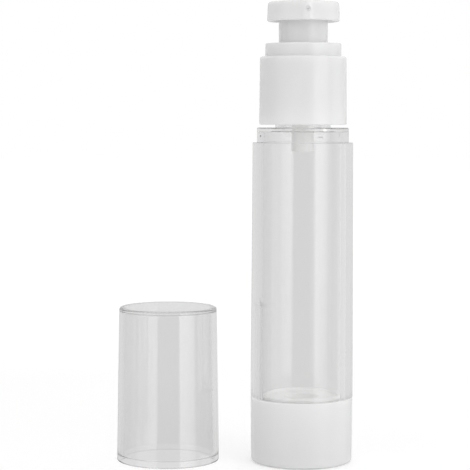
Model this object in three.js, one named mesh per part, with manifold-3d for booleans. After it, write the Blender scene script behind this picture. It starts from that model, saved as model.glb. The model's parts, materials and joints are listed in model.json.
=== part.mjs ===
// Clear airless pump bottle, with its overcap taken off and set down beside it.
// Millimetres, +Z up. The origin is the middle of the flat underside of the base. The nozzle
// looks towards -Y and the overcap stands on the -X side.
//
// There is no dip tube: each press of the head draws lotion straight out of the clear bore, and a
// follower piston climbs the bore behind the lotion, with air let in below it through the base.

import * as THREE from 'three';
import { mergeVertices } from 'three/addons/utils/BufferGeometryUtils.js';
import Module from 'manifold-3d';

const wasm = await Module();
wasm.setup();

// Facets round each kind of piece
const SHELL_SIDES = 40;
const PUMP_SIDES = 24;
const HOLE_SIDES = 12;
const ARC_STEPS = 3;

// Clearances
const SEAT_GAP = 0.2;        // between faces that rest on each other
const PRESS_GAP = 0.15;      // radial, between pieces pushed together
const RUN_GAP = 0.12;        // radial, at a wiping seal
const GUIDE_GAP = 0.27;      // radial, where the head's skirt slides in the collar
const STOP_GAP = 0.3;        // left at the end of a stroke

// Clear bottle body
const BODY_R = 16.86;        // at the shoulder
const BODY_DRAFT = 0.41;     // radius gained from the shoulder down to the foot
const BODY_LENGTH = 85.6;    // foot of the visible tube to the shoulder
const BODY_WALL = 3.46;
const SPIGOT_WALL = 2.0;     // thinner foot that the base cup is pushed over
const SHOULDER_STEP = 1.45;
const SNAP_RING_HEIGHT = 5.0;
const PLATE_THICKNESS = 1.35;
const NECK_HEIGHT = 13.2;
const NECK_WALL = 2.38;
const BODY_EDGE = 0.3;
const LUG_COUNT = 4;
const LUG_LENGTH = 3.4;
const LUG_HEIGHT = 1.5;
const LUG_PROUD = 0.3;
const LUG_SINK = 0.5;        // how deep a lug's middle lies in the ring
const LUG_TURN = THREE.MathUtils.degToRad(-160);

// White base cup
const BASE_HEIGHT = 22.0;
const BASE_INSET = 0.02;     // how far its rim lies inside the foot of the tube
const BASE_DRAFT = 0.2;
const BASE_FLOOR = 1.6;
const BASE_EDGE = 1.1;
const RIM_EDGE = 0.4;
const VENT_R = 0.8;
const VENT_OFFSET = 8.0;

// Follower piston
const FOLLOWER_RISE = 0.8;   // how far its top stands above the foot of the clear tube
const FOLLOWER_HEIGHT = 12.0;
const FOLLOWER_WALL = 1.1;
const FOLLOWER_WAIST = 0.85; // depth of the groove between its two seal lips
const FOLLOWER_LIP = 1.4;
const FOLLOWER_DISH = 0.7;
const RECESS_ROOM = 0.9;     // room round the pump's nose when the bottle is empty

// Pump engine
const STROKE = 7.0;
const PUMP_BORE_R = 5.5;
const BARREL_WALL = 1.1;
const BARREL_GAP = 0.35;     // barrel in the neck
const CYLINDER_WALL = 1.2;   // above the flange
const CYLINDER_RISE = 3.2;
const FLANGE_THICKNESS = 1.4;
const FLANGE_INSET = 0.15;
const GASKET_THICKNESS = 0.6;
const BALL_R = 2.0;
const BALL_ROOM = 0.4;
const INLET_R = 1.4;
const INLET_DEPTH = 5.9;     // long spout below the ball's seat
const SEAT_DEPTH = 1.3;
const POCKET_DEPTH = 3.0;
const CAGE_LIP = 0.8;
const NOSE_WALL = 1.4;
const FLOOR_WALL = 1.0;
const STEM_R = 2.9;
const STEM_NECK_R = 2.5;
const STEM_BORE_R = 1.5;
const STEM_GAP = 0.25;
const VALVE_R = 4.2;
const VALVE_HEIGHT = 1.6;
const PORT_R = 0.65;
const PISTON_HEIGHT = 5.0;
const PISTON_FLOAT = 1.0;    // lost motion on the stem that opens the ports
const PISTON_HUB_WALL = 1.0;
const PISTON_HUB_RISE = 1.2; // lower end of the hub above the edge of the lower lip
const PISTON_LIP = 0.7;
const PISTON_WEB = 1.0;
const GUIDE_FLANGE = 1.1;
const GUIDE_PLUG = 1.7;
const SPRING_WIRE = 0.7;
const SPRING_TURNS = 8;
const SPRING_END_TURNS = 1;
const SPRING_END_GAP = 0.5;  // clear gap between the close turns at each end

// Screw closure and collar sleeve
const COLLAR_GAP = 1.0;      // open gap between the bottle's top plate and the collar
const THREAD_ROOM = 0.55;
const CLOSURE_WALL = 1.2;
const CLOSURE_WEB = 1.4;
const CLOSURE_RECESS = 2.5;  // how far the closure's mouth sits inside the sleeve
const RIB_COUNT = 24;
const RIB_DEPTH = 1.5;
const RIB_SHARE = 0.4;       // share of each rib's pitch that the rib fills
const COLLAR_WALL = 1.95;
const COLLAR_DRAFT = 0.22;
const COLLAR_HEADROOM = 6.6;
const COLLAR_ROOF = 1.3;
const COLLAR_EDGE = 0.7;
const RING_STEP = 1.74;
const RING_HEIGHT = 4.35;
const RING_WALL = 1.5;
const GUIDE_WALL = 1.15;
const MOUTH_EDGE = 0.3;

// Actuator head
const HEAD_R = 12.18;
const HEAD_HEIGHT = 6.45;
const HEAD_DRAFT = 0.3;
const HEAD_WALL = 1.3;
const HEAD_ROOF = 1.6;
const HEAD_TOP_EDGE = 0.9;
const HEAD_LOW_EDGE = 0.6;
const BEAK_REACH = 14.2;     // axis to the tip of the nozzle beak
const BEAK_R = 2.2;
const BEAK_FACE_R = 1.5;
const BEAK_FACE_DEPTH = 0.25;
const NOZZLE_RISE = 3.55;
const NOZZLE_TURN = THREE.MathUtils.degToRad(4);
const ORIFICE_R = 0.3;
const ORIFICE_DEPTH = 1.5;
const DIMPLE_R = 0.84;       // shallow recess round the orifice
const DIMPLE_DEPTH = 0.45;
const CHANNEL_R = 1.1;
const CHANNEL_WALL = 0.8;
const SKIRT_WALL = 1.18;
const SKIRT_GAP = 0.3;       // skirt round the top of the cylinder when pressed
const SOCKET_WALL = 1.35;
const SPRING_SEAT_RISE = 1.25;
const SOCKET_RISE = 0.55;
const DISH_R = 8.5;
const DISH_DEPTH = 0.5;
const DISH_STEPS = 4;
const CUT_OVERRUN = 1.0;     // how far a cutting tool runs past the face that it opens

// Clear overcap
const CAP_FIT = 0.15;        // radial, on the snap ring
const CAP_MOUTH_WALL = 1.32; // round the relief that leads the mouth over the ring
const CAP_MOUTH_DEPTH = 2.2;
const CAP_LEDGE = 0.45;      // step from the relief in to the wall that grips the ring
const CAP_WALL = 1.6;
const CAP_DRAFT = 0.88;
const CAP_TOP_WALL = 1.2;
const CAP_HEADROOM = 4.2;
const CAP_EDGE = 0.8;
const CAP_INNER_EDGE = 0.5;
const CAP_STANDOFF = 10.73;  // clear distance between the cap and the bottle
const CAP_BACK = 0.9;

// Heights, stacked up from the underside of the base
const FOOT_Z = BASE_HEIGHT + SEAT_GAP;
const SPIGOT_Z = BASE_FLOOR + SEAT_GAP;
const SHOULDER_Z = FOOT_Z + BODY_LENGTH;
const PLATE_Z = SHOULDER_Z + SNAP_RING_HEIGHT;
const PLATE_UNDER_Z = PLATE_Z - PLATE_THICKNESS;
const NECK_Z = PLATE_Z + NECK_HEIGHT;
const GASKET_Z = NECK_Z + SEAT_GAP / 2;
const FLANGE_Z = GASKET_Z + GASKET_THICKNESS + SEAT_GAP / 2;
const FLANGE_TOP_Z = FLANGE_Z + FLANGE_THICKNESS;
const WEB_Z = FLANGE_TOP_Z + STOP_GAP;
const CLOSURE_TOP_Z = WEB_Z + CLOSURE_WEB;
const COLLAR_Z = PLATE_Z + COLLAR_GAP;
const STEP_Z = CLOSURE_TOP_Z + COLLAR_HEADROOM;
const RING_Z = STEP_Z + RING_HEIGHT;
const CYLINDER_TOP_Z = FLANGE_TOP_Z + CYLINDER_RISE;
const GUIDE_SEAT_Z = CYLINDER_TOP_Z + SEAT_GAP;
const GUIDE_TOP_Z = GUIDE_SEAT_Z + GUIDE_FLANGE;
const GUIDE_UNDER_Z = GUIDE_SEAT_Z - GUIDE_PLUG;
const PISTON_TOP_Z = GUIDE_UNDER_Z - STOP_GAP - PISTON_FLOAT;
const PISTON_Z = PISTON_TOP_Z - PISTON_HEIGHT;
const HUB_Z = PISTON_Z + PISTON_HUB_RISE;
const VALVE_TOP_Z = HUB_Z - SEAT_GAP;
const VALVE_Z = VALVE_TOP_Z - VALVE_HEIGHT;
const CHAMBER_Z = VALVE_Z - STROKE - STOP_GAP;
const POCKET_TOP_Z = CHAMBER_Z - CAGE_LIP;
const SEAT_Z = POCKET_TOP_Z - POCKET_DEPTH;
const INLET_Z = SEAT_Z - SEAT_DEPTH;
const NOSE_Z = INLET_Z - INLET_DEPTH;
const HEAD_Z = RING_Z + STROKE + STOP_GAP;
const HEAD_TOP_Z = HEAD_Z + HEAD_HEIGHT;
const NOZZLE_Z = HEAD_Z + NOZZLE_RISE;
const SKIRT_Z = CLOSURE_TOP_Z + STROKE + STOP_GAP;
const SOCKET_Z = GUIDE_TOP_Z + STROKE + STOP_GAP;
const SPRING_SEAT_Z = HEAD_Z + SPRING_SEAT_RISE;
const SOCKET_TOP_Z = HEAD_Z + SOCKET_RISE;
const STEM_TOP_Z = SOCKET_TOP_Z - SEAT_GAP;
const FOLLOWER_TOP_Z = FOOT_Z + FOLLOWER_RISE;

// Radii, worked outwards from the pump's bore and inwards from the bottle's wall
const BORE_R = BODY_R - BODY_WALL;
const FOOT_R = BODY_R + BODY_DRAFT;
const SPIGOT_R = BORE_R + SPIGOT_WALL;
const SNAP_RING_R = BODY_R - SHOULDER_STEP;
const BASE_BORE_R = SPIGOT_R + PRESS_GAP;
const BASE_RIM_R = FOOT_R - BASE_INSET;
const BASE_LOW_R = BASE_RIM_R - BASE_DRAFT;
const BARREL_R = PUMP_BORE_R + BARREL_WALL;
const NECK_BORE_R = BARREL_R + BARREL_GAP;
const NECK_R = NECK_BORE_R + NECK_WALL;
const FLANGE_R = NECK_R - FLANGE_INSET;
const CYLINDER_R = PUMP_BORE_R + CYLINDER_WALL;
const POCKET_R = BALL_R + BALL_ROOM;
const NOSE_R = POCKET_R + NOSE_WALL;
const CAGE_R = BALL_R - BALL_ROOM;
const SKIRT_BORE_R = CYLINDER_R + SKIRT_GAP;
const SKIRT_R = SKIRT_BORE_R + SKIRT_WALL;
const GUIDE_R = SKIRT_R + GUIDE_GAP;
const CLOSURE_BORE_R = NECK_R + THREAD_ROOM;
const CLOSURE_R = CLOSURE_BORE_R + CLOSURE_WALL;
const RIB_R = CLOSURE_R + RIB_DEPTH;
const SLEEVE_BORE_R = RIB_R + PRESS_GAP;
const COLLAR_R = SLEEVE_BORE_R + COLLAR_WALL;
const COLLAR_TOP_R = COLLAR_R - COLLAR_DRAFT;
const RING_R = COLLAR_TOP_R - RING_STEP;
const SOCKET_BORE_R = STEM_R + PRESS_GAP;
const SOCKET_R = SOCKET_BORE_R + SOCKET_WALL;
const SPRING_R = (SOCKET_R + SKIRT_BORE_R) / 2;

// The overcap, which fits over the snap ring and clears the head
const CAP_SOCKET_R = SNAP_RING_R + CAP_FIT;
const CAP_MOUTH_R = CAP_SOCKET_R + CAP_LEDGE;
const CAP_RIM_R = CAP_MOUTH_R + CAP_MOUTH_WALL;
const CAP_TOP_R = CAP_RIM_R - CAP_DRAFT;
const CAP_HEIGHT = HEAD_TOP_Z - SHOULDER_Z + CAP_HEADROOM + CAP_TOP_WALL;
const CAP_SPOT = new THREE.Vector3(-(CAP_RIM_R + FOOT_R + CAP_STANDOFF), CAP_BACK, 0);

// Finishes
const clearSan = new THREE.MeshStandardMaterial({
  color: 0xeef1f2, roughness: 0.06, metalness: 0, transparent: true, opacity: 0.3,
});
const whitePp = new THREE.MeshStandardMaterial({ color: 0xf1f1f0, roughness: 0.34, metalness: 0 });
const naturalPp = new THREE.MeshStandardMaterial({ color: 0xe9ebe8, roughness: 0.45, metalness: 0 });
const softPe = new THREE.MeshStandardMaterial({ color: 0xf3f3f1, roughness: 0.55, metalness: 0 });
const foamSeal = new THREE.MeshStandardMaterial({ color: 0xe4e3de, roughness: 0.9, metalness: 0 });
const stainless = new THREE.MeshStandardMaterial({ color: 0xc9ccce, roughness: 0.25, metalness: 1 });

// Joins equal vertices and drops the triangles that collapse on the axis of a turned piece.
function welded(geometry) {
  const bare = geometry.clone();
  bare.deleteAttribute('normal');
  bare.deleteAttribute('uv');
  const merged = mergeVertices(bare, 1e-4);
  const kept = [];
  for (let i = 0; i < merged.index.count; i += 3) {
    const [a, b, c] = [0, 1, 2].map((k) => merged.index.getX(i + k));
    if (a !== b && b !== c && c !== a) kept.push(a, b, c);
  }
  merged.setIndex(kept);
  return merged;
}

// A round solid turned about Z from an outline of [radius, height] that runs anticlockwise.
// The outline starts and ends on the axis, or closes on itself.
function turned(outline, sides) {
  const points = outline.map(([r, z]) => new THREE.Vector2(r, z));
  if (outline[0][0] > 0) points.push(points[0].clone());
  return welded(new THREE.LatheGeometry(points, sides).rotateX(Math.PI / 2));
}

// Points of a quarter round in an outline, from one angle in degrees to another.
function round(r, z, radius, from, to) {
  return Array.from({ length: ARC_STEPS + 1 }, (_, i) => {
    const angle = THREE.MathUtils.degToRad(from + ((to - from) * i) / ARC_STEPS);
    return [r + radius * Math.cos(angle), z + radius * Math.sin(angle)];
  });
}

function ring(innerR, outerR, low, high, sides) {
  return turned([[innerR, low], [outerR, low], [outerR, high], [innerR, high]], sides);
}

function rod(radius, low, high, sides) {
  return turned([[0, low], [radius, low], [radius, high], [0, high]], sides);
}

// A closed skin over loops of equal point count, fanned shut about the middle of each end loop.
function lofted(loops) {
  const count = loops[0].length;
  const middle = (loop) => loop.reduce((sum, p) => sum.add(p), new THREE.Vector3()).divideScalar(count);
  const points = [...loops.flat(), middle(loops[0]), middle(loops.at(-1))];
  const [low, high] = [points.length - 2, points.length - 1];
  const index = [];
  for (let i = 0; i < count; i += 1) {
    const j = (i + 1) % count;
    index.push(low, j, i);
    for (let k = 0; k + 1 < loops.length; k += 1) {
      const [a, b] = [k * count, (k + 1) * count];
      index.push(a + i, a + j, b + j, a + i, b + j, b + i);
    }
    const top = (loops.length - 1) * count;
    index.push(high, top + i, top + j);
  }
  const geometry = new THREE.BufferGeometry().setFromPoints(points);
  geometry.setIndex(index);
  return geometry;
}

// Closed solids for joining and cutting
function solid(geometry) {
  const shape = welded(geometry);
  return new wasm.Manifold(new wasm.Mesh({
    numProp: 3,
    vertProperties: new Float32Array(shape.attributes.position.array),
    triVerts: new Uint32Array(shape.index.array),
  }));
}

function geometryOf(body) {
  const mesh = body.getMesh();
  const geometry = new THREE.BufferGeometry();
  geometry.setAttribute('position', new THREE.BufferAttribute(mesh.vertProperties, mesh.numProp));
  geometry.setIndex(new THREE.BufferAttribute(mesh.triVerts, 1));
  return geometry;
}

function piece(name, geometry, material) {
  geometry.computeVertexNormals();
  const mesh = new THREE.Mesh(geometry, material);
  mesh.name = name;
  return mesh;
}

// Clear body: thick tube, shoulder, snap ring for the overcap, top plate and neck in one moulding
function bottleBody() {
  const outline = [
    [SPIGOT_R, SPIGOT_Z], [SPIGOT_R, FOOT_Z],
    [FOOT_R - RIM_EDGE, FOOT_Z], [FOOT_R, FOOT_Z + RIM_EDGE],
    ...round(BODY_R - BODY_EDGE, SHOULDER_Z - BODY_EDGE, BODY_EDGE, 0, 90),
    [SNAP_RING_R, SHOULDER_Z],
    ...round(SNAP_RING_R - BODY_EDGE, PLATE_Z - BODY_EDGE, BODY_EDGE, 0, 90),
    [NECK_R, PLATE_Z], [NECK_R, NECK_Z - RIM_EDGE], [NECK_R - RIM_EDGE, NECK_Z],
    [NECK_BORE_R, NECK_Z], [NECK_BORE_R, PLATE_UNDER_Z],
    [BORE_R - BODY_EDGE, PLATE_UNDER_Z], [BORE_R, PLATE_UNDER_Z - BODY_EDGE],
    [BORE_R, SPIGOT_Z + RIM_EDGE], [BORE_R + RIM_EDGE, SPIGOT_Z],
  ];
  let body = solid(turned(outline, SHELL_SIDES));
  for (let i = 0; i < LUG_COUNT; i += 1) {
    const lug = new THREE.SphereGeometry(1, HOLE_SIDES, HOLE_SIDES / 2);
    lug.scale(LUG_PROUD + LUG_SINK, LUG_LENGTH / 2, LUG_HEIGHT / 2);
    lug.translate(SNAP_RING_R - LUG_SINK, 0, SHOULDER_Z + SNAP_RING_HEIGHT / 2);
    lug.rotateZ(LUG_TURN + (2 * Math.PI * i) / LUG_COUNT);
    body = body.add(solid(lug));
  }
  return piece('bottle_body', geometryOf(body), clearSan);
}

// White cup pushed over the foot of the tube, with the hole that lets air in under the follower
function baseCup() {
  const cup = turned([
    [0, 0], ...round(BASE_LOW_R - BASE_EDGE, BASE_EDGE, BASE_EDGE, -90, 0),
    ...round(BASE_RIM_R - RIM_EDGE, BASE_HEIGHT - RIM_EDGE, RIM_EDGE, 0, 90),
    [BASE_BORE_R, BASE_HEIGHT], [BASE_BORE_R, BASE_FLOOR], [0, BASE_FLOOR],
  ], SHELL_SIDES);
  const vent = rod(VENT_R, -CUT_OVERRUN, BASE_FLOOR + CUT_OVERRUN, HOLE_SIDES);
  vent.translate(0, VENT_OFFSET, 0);
  return piece('base_cup', geometryOf(solid(cup).subtract(solid(vent))), whitePp);
}

// Spool with a seal lip at each end, hollow below, and a recess that clears the pump's nose
function followerPiston() {
  const lipR = BORE_R - RUN_GAP;
  const waistR = lipR - FOLLOWER_WAIST;
  const innerR = waistR - FOLLOWER_WALL;
  const top = FOLLOWER_TOP_Z;
  const low = top - FOLLOWER_HEIGHT;
  const disc = top - FOLLOWER_DISH;
  const recessR = NOSE_R + RECESS_ROOM;
  const recess = disc - Math.max(0, PLATE_UNDER_Z - NOSE_Z) - RECESS_ROOM;
  const slope = FOLLOWER_LIP + FOLLOWER_WAIST;
  return piece('follower_piston', turned([
    [0, recess - FOLLOWER_WALL], [recessR + FOLLOWER_WALL, recess - FOLLOWER_WALL],
    [recessR + 2 * FOLLOWER_WALL, disc - FOLLOWER_WALL], [innerR, disc - FOLLOWER_WALL],
    [innerR, low + slope], [lipR - FOLLOWER_WALL, low],
    [lipR, low], [lipR, low + FOLLOWER_LIP], [waistR, low + slope],
    [waistR, top - slope], [lipR, top - FOLLOWER_LIP], [lipR, top],
    [lipR - FOLLOWER_WALL, top], [innerR, disc],
    [recessR + FOLLOWER_WALL, disc], [recessR, recess], [0, recess],
  ], SHELL_SIDES), softPe);
}

// Screw closure: a threaded wall with driving ribs outside and a web that clamps the pump's flange
function screwClosure() {
  const low = COLLAR_Z + CLOSURE_RECESS;
  const wall = new THREE.Shape();
  const pitch = (2 * Math.PI) / RIB_COUNT;
  const at = (r, angle) => new THREE.Vector2(r * Math.cos(angle), r * Math.sin(angle));
  const outline = [];
  for (let i = 0; i < RIB_COUNT; i += 1) {
    const [start, end] = [i * pitch, (i + RIB_SHARE) * pitch];
    outline.push(at(CLOSURE_R, start), at(RIB_R, start), at(RIB_R, end), at(CLOSURE_R, end));
  }
  wall.setFromPoints(outline);
  wall.holes.push(new THREE.Path().absarc(0, 0, CLOSURE_BORE_R, 0, 2 * Math.PI));
  const ribbed = new THREE.ExtrudeGeometry(wall, {
    depth: CLOSURE_TOP_Z - low, bevelEnabled: false, curveSegments: PUMP_SIDES / 2,
  });
  ribbed.translate(0, 0, low);
  const web = ring(CYLINDER_R + STOP_GAP, CLOSURE_R, WEB_Z, CLOSURE_TOP_Z, PUMP_SIDES);
  return piece('screw_closure', geometryOf(solid(ribbed).add(solid(web))), naturalPp);
}

// Outer collar: tapered sleeve, stepped ring and the tube that guides the head's skirt
function collarSleeve() {
  const ringBoreR = RING_R - RING_WALL;
  const guideLow = CLOSURE_TOP_Z + SEAT_GAP;
  return piece('collar_sleeve', turned([
    [SLEEVE_BORE_R, COLLAR_Z], [COLLAR_R - MOUTH_EDGE, COLLAR_Z], [COLLAR_R, COLLAR_Z + MOUTH_EDGE],
    ...round(COLLAR_TOP_R - COLLAR_EDGE, STEP_Z - COLLAR_EDGE, COLLAR_EDGE, 0, 90),
    [RING_R, STEP_Z],
    ...round(RING_R - COLLAR_EDGE, RING_Z - COLLAR_EDGE, COLLAR_EDGE, 0, 90),
    [GUIDE_R + MOUTH_EDGE, RING_Z], [GUIDE_R, RING_Z - MOUTH_EDGE],
    [GUIDE_R, guideLow], [GUIDE_R + GUIDE_WALL, guideLow],
    [GUIDE_R + GUIDE_WALL, RING_Z - COLLAR_ROOF], [ringBoreR, RING_Z - COLLAR_ROOF],
    [ringBoreR, STEP_Z - COLLAR_ROOF], [SLEEVE_BORE_R, STEP_Z - COLLAR_ROOF],
  ], SHELL_SIDES), whitePp);
}

function neckGasket() {
  const gasket = ring(BARREL_R + PRESS_GAP, FLANGE_R, GASKET_Z, GASKET_Z + GASKET_THICKNESS, PUMP_SIDES);
  return piece('neck_gasket', gasket, foamSeal);
}

// Pump cylinder: barrel in the neck, flange on its lip, and the caged ball seat in its nose
function pumpCylinder() {
  return piece('pump_cylinder', turned([
    [INLET_R, NOSE_Z], [NOSE_R, NOSE_Z], [NOSE_R, CHAMBER_Z - FLOOR_WALL],
    [BARREL_R, CHAMBER_Z - FLOOR_WALL], [BARREL_R, FLANGE_Z],
    [FLANGE_R, FLANGE_Z], [FLANGE_R, FLANGE_TOP_Z],
    [CYLINDER_R, FLANGE_TOP_Z], [CYLINDER_R, CYLINDER_TOP_Z],
    [PUMP_BORE_R, CYLINDER_TOP_Z], [PUMP_BORE_R, CHAMBER_Z],
    [CAGE_R, CHAMBER_Z], [CAGE_R, POCKET_TOP_Z], [POCKET_R, POCKET_TOP_Z],
    [POCKET_R, SEAT_Z], [INLET_R, INLET_Z],
  ], PUMP_SIDES), naturalPp);
}

// Inlet valve ball, lying in the cone of its seat
function inletBall() {
  const slant = Math.hypot(POCKET_R - INLET_R, SEAT_DEPTH);
  const reach = ((BALL_R + RUN_GAP) * slant - INLET_R * SEAT_DEPTH) / (POCKET_R - INLET_R);
  const ball = new THREE.SphereGeometry(BALL_R, HOLE_SIDES, HOLE_SIDES / 2).rotateX(Math.PI / 2);
  ball.translate(0, 0, INLET_Z + reach);
  return piece('inlet_ball', welded(ball), stainless);
}

// Ring that closes the cylinder, guides the stem and carries the spring
function stemGuide() {
  const plugR = PUMP_BORE_R - PRESS_GAP;
  const holeR = STEM_R + STEM_GAP;
  return piece('stem_guide', turned([
    [holeR, GUIDE_UNDER_Z], [plugR, GUIDE_UNDER_Z], [plugR, GUIDE_SEAT_Z],
    [CYLINDER_R, GUIDE_SEAT_Z], [CYLINDER_R, GUIDE_TOP_Z], [holeR, GUIDE_TOP_Z],
  ], PUMP_SIDES), naturalPp);
}

// Hollow stem with the valve head that shuts its ports against the piston's hub
function pistonStem() {
  const shoulder = PISTON_TOP_Z + PISTON_FLOAT + SEAT_GAP;
  const boreLow = VALVE_TOP_Z;
  const stem = turned([
    [0, VALVE_Z], [VALVE_R, VALVE_Z], [VALVE_R, VALVE_TOP_Z - VALVE_HEIGHT / 2],
    [STEM_NECK_R, VALVE_TOP_Z], [STEM_NECK_R, shoulder],
    [STEM_R, shoulder], [STEM_R, STEM_TOP_Z],
    [STEM_BORE_R, STEM_TOP_Z], [STEM_BORE_R, boreLow], [0, boreLow],
  ], PUMP_SIDES);
  const ports = rod(PORT_R, -STEM_R - CUT_OVERRUN, STEM_R + CUT_OVERRUN, HOLE_SIDES);
  ports.rotateX(Math.PI / 2);
  ports.translate(0, 0, boreLow + 2 * PORT_R);
  return piece('piston_stem', geometryOf(solid(stem).subtract(solid(ports))), naturalPp);
}

// Soft piston with two wiping lips, free to slide a little on the stem's neck
function pumpPiston() {
  const hubBoreR = STEM_NECK_R + PRESS_GAP;
  const hubR = hubBoreR + PISTON_HUB_WALL;
  const lipR = PUMP_BORE_R - RUN_GAP;
  const bodyR = lipR - PISTON_LIP / 2;
  const skirtR = lipR - PISTON_LIP;
  const webLow = (HUB_Z + PISTON_TOP_Z - PISTON_WEB) / 2;
  return piece('pump_piston', turned([
    [hubBoreR, HUB_Z], [hubR, HUB_Z], [hubR, webLow], [skirtR, webLow], [skirtR, PISTON_Z],
    [lipR, PISTON_Z], [lipR, PISTON_Z + PISTON_LIP], [bodyR, PISTON_Z + 2 * PISTON_LIP],
    [bodyR, PISTON_TOP_Z - 2 * PISTON_LIP], [lipR, PISTON_TOP_Z - PISTON_LIP],
    [lipR, PISTON_TOP_Z], [skirtR, PISTON_TOP_Z], [skirtR, webLow + PISTON_WEB],
    [hubR, webLow + PISTON_WEB], [hubR, PISTON_TOP_Z], [hubBoreR, PISTON_TOP_Z],
  ], PUMP_SIDES), softPe);
}

// Return spring: one unbroken wire, wound closer in its end turns
function returnSpring() {
  const stepsPerTurn = 8;
  const wireSides = 5;
  const low = GUIDE_TOP_Z + SEAT_GAP + SPRING_WIRE / 2;
  const high = SPRING_SEAT_Z - SEAT_GAP - SPRING_WIRE / 2;
  const endPitch = SPRING_WIRE + SPRING_END_GAP;
  const midPitch = (high - low - 2 * SPRING_END_TURNS * endPitch) / (SPRING_TURNS - 2 * SPRING_END_TURNS);
  const heightAt = (turn) => {
    const mid = THREE.MathUtils.clamp(turn - SPRING_END_TURNS, 0, SPRING_TURNS - 2 * SPRING_END_TURNS);
    return low + mid * midPitch + (turn - mid) * endPitch;
  };
  const loops = [];
  const centres = [];
  for (let i = 0; i <= SPRING_TURNS * stepsPerTurn; i += 1) {
    const turn = i / stepsPerTurn;
    const angle = 2 * Math.PI * turn;
    const outward = new THREE.Vector3(Math.cos(angle), Math.sin(angle), 0);
    const centre = outward.clone().multiplyScalar(SPRING_R).setZ(heightAt(turn));
    const up = new THREE.Vector3(0, 0, 1);
    centres.push(centre);
    loops.push(Array.from({ length: wireSides }, (_, k) => {
      const side = (-2 * Math.PI * k) / wireSides;
      return centre.clone()
        .addScaledVector(outward, (SPRING_WIRE / 2) * Math.cos(side))
        .addScaledVector(up, (SPRING_WIRE / 2) * Math.sin(side));
    }));
  }
  let least = Infinity;
  for (let i = 0; i < centres.length; i += 1) {
    for (let j = i + stepsPerTurn / 2; j < centres.length; j += 1) {
      least = Math.min(least, centres[i].distanceTo(centres[j]) - SPRING_WIRE);
    }
  }
  console.log(`return_spring: least gap between turns ${least.toFixed(2)} mm`);
  return piece('return_spring', lofted(loops), stainless);
}

// Plan of the head, drawn in by an inset: a disc whose sides run out into a rounded beak
function headLoop(inset, z) {
  const beakAt = BEAK_REACH - BEAK_R;
  const tangent = Math.acos((HEAD_R - BEAK_R) / beakAt);
  const discSteps = SHELL_SIDES - 4;
  const beakSteps = 8;
  const points = [];
  for (let i = 0; i <= discSteps; i += 1) {
    const angle = -Math.PI / 2 + tangent + ((2 * Math.PI - 2 * tangent) * i) / discSteps;
    points.push(new THREE.Vector3(Math.cos(angle), Math.sin(angle), 0).multiplyScalar(HEAD_R - inset));
  }
  for (let i = 0; i <= beakSteps; i += 1) {
    const angle = -Math.PI / 2 - tangent + (2 * tangent * i) / beakSteps;
    const rim = new THREE.Vector3(Math.cos(angle), Math.sin(angle), 0).multiplyScalar(BEAK_R - inset);
    points.push(rim.add(new THREE.Vector3(0, -beakAt, 0)));
  }
  return points.map((p) => p.setZ(z));
}

// Pump head: hollow rim with a beak, skirt, stem socket, and the channel from stem to orifice
function actuator() {
  const rimLoops = [
    ...round(-HEAD_LOW_EDGE, HEAD_Z + HEAD_LOW_EDGE, HEAD_LOW_EDGE, -90, 0),
    ...round(-HEAD_DRAFT - HEAD_TOP_EDGE, HEAD_TOP_Z - HEAD_TOP_EDGE, HEAD_TOP_EDGE, 0, 90),
  ].map(([grow, z]) => headLoop(-grow, z));
  const pocketLoops = [HEAD_Z - CUT_OVERRUN, HEAD_TOP_Z - HEAD_ROOF].map((z) => headLoop(HEAD_WALL, z));
  const roofZ = HEAD_TOP_Z - HEAD_ROOF / 2;
  const dishSag = (r) => DISH_DEPTH * (1 - (r / DISH_R) ** 2);
  const dish = turned([
    ...Array.from({ length: DISH_STEPS + 1 }, (_, i) => (DISH_R * i) / DISH_STEPS)
      .map((r) => [r, HEAD_TOP_Z - dishSag(r)]),
    [DISH_R, HEAD_TOP_Z + CUT_OVERRUN], [0, HEAD_TOP_Z + CUT_OVERRUN],
  ], SHELL_SIDES);
  const channelAlong = (radius, from, to) => rod(radius, from, to, HOLE_SIDES)
    .rotateX(Math.PI / 2).translate(0, 0, NOZZLE_Z);
  const face = BEAK_REACH - BEAK_FACE_DEPTH;
  const beakFace = channelAlong(BEAK_FACE_R, face, BEAK_REACH + CUT_OVERRUN);
  const dimple = channelAlong(DIMPLE_R, face - DIMPLE_DEPTH, BEAK_REACH);
  const channelEnd = BEAK_REACH - ORIFICE_DEPTH;
  const skirt = rod(SKIRT_R, SKIRT_Z, roofZ, SHELL_SIDES);
  const skirtBore = rod(SKIRT_BORE_R, SKIRT_Z - CUT_OVERRUN, SPRING_SEAT_Z, SHELL_SIDES);
  const socket = rod(SOCKET_R, SOCKET_Z, roofZ, PUMP_SIDES);
  const socketBore = rod(SOCKET_BORE_R, SOCKET_Z - CUT_OVERRUN, SOCKET_TOP_Z, PUMP_SIDES);
  const riser = rod(STEM_BORE_R, SOCKET_TOP_Z - CUT_OVERRUN, NOZZLE_Z, HOLE_SIDES);
  const head = solid(lofted(rimLoops)).subtract(solid(lofted(pocketLoops)))
    .add(solid(channelAlong(CHANNEL_R + CHANNEL_WALL, 0, channelEnd)))
    .add(solid(skirt)).subtract(solid(skirtBore))
    .add(solid(socket)).subtract(solid(socketBore))
    .subtract(solid(riser))
    .subtract(solid(channelAlong(CHANNEL_R, 0, channelEnd)))
    .subtract(solid(channelAlong(ORIFICE_R, channelEnd - CUT_OVERRUN, BEAK_REACH + CUT_OVERRUN)))
    .subtract(solid(beakFace)).subtract(solid(dimple))
    .subtract(solid(dish));
  const mesh = piece('actuator', geometryOf(head), whitePp);
  mesh.rotation.z = NOZZLE_TURN;
  return mesh;
}

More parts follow.
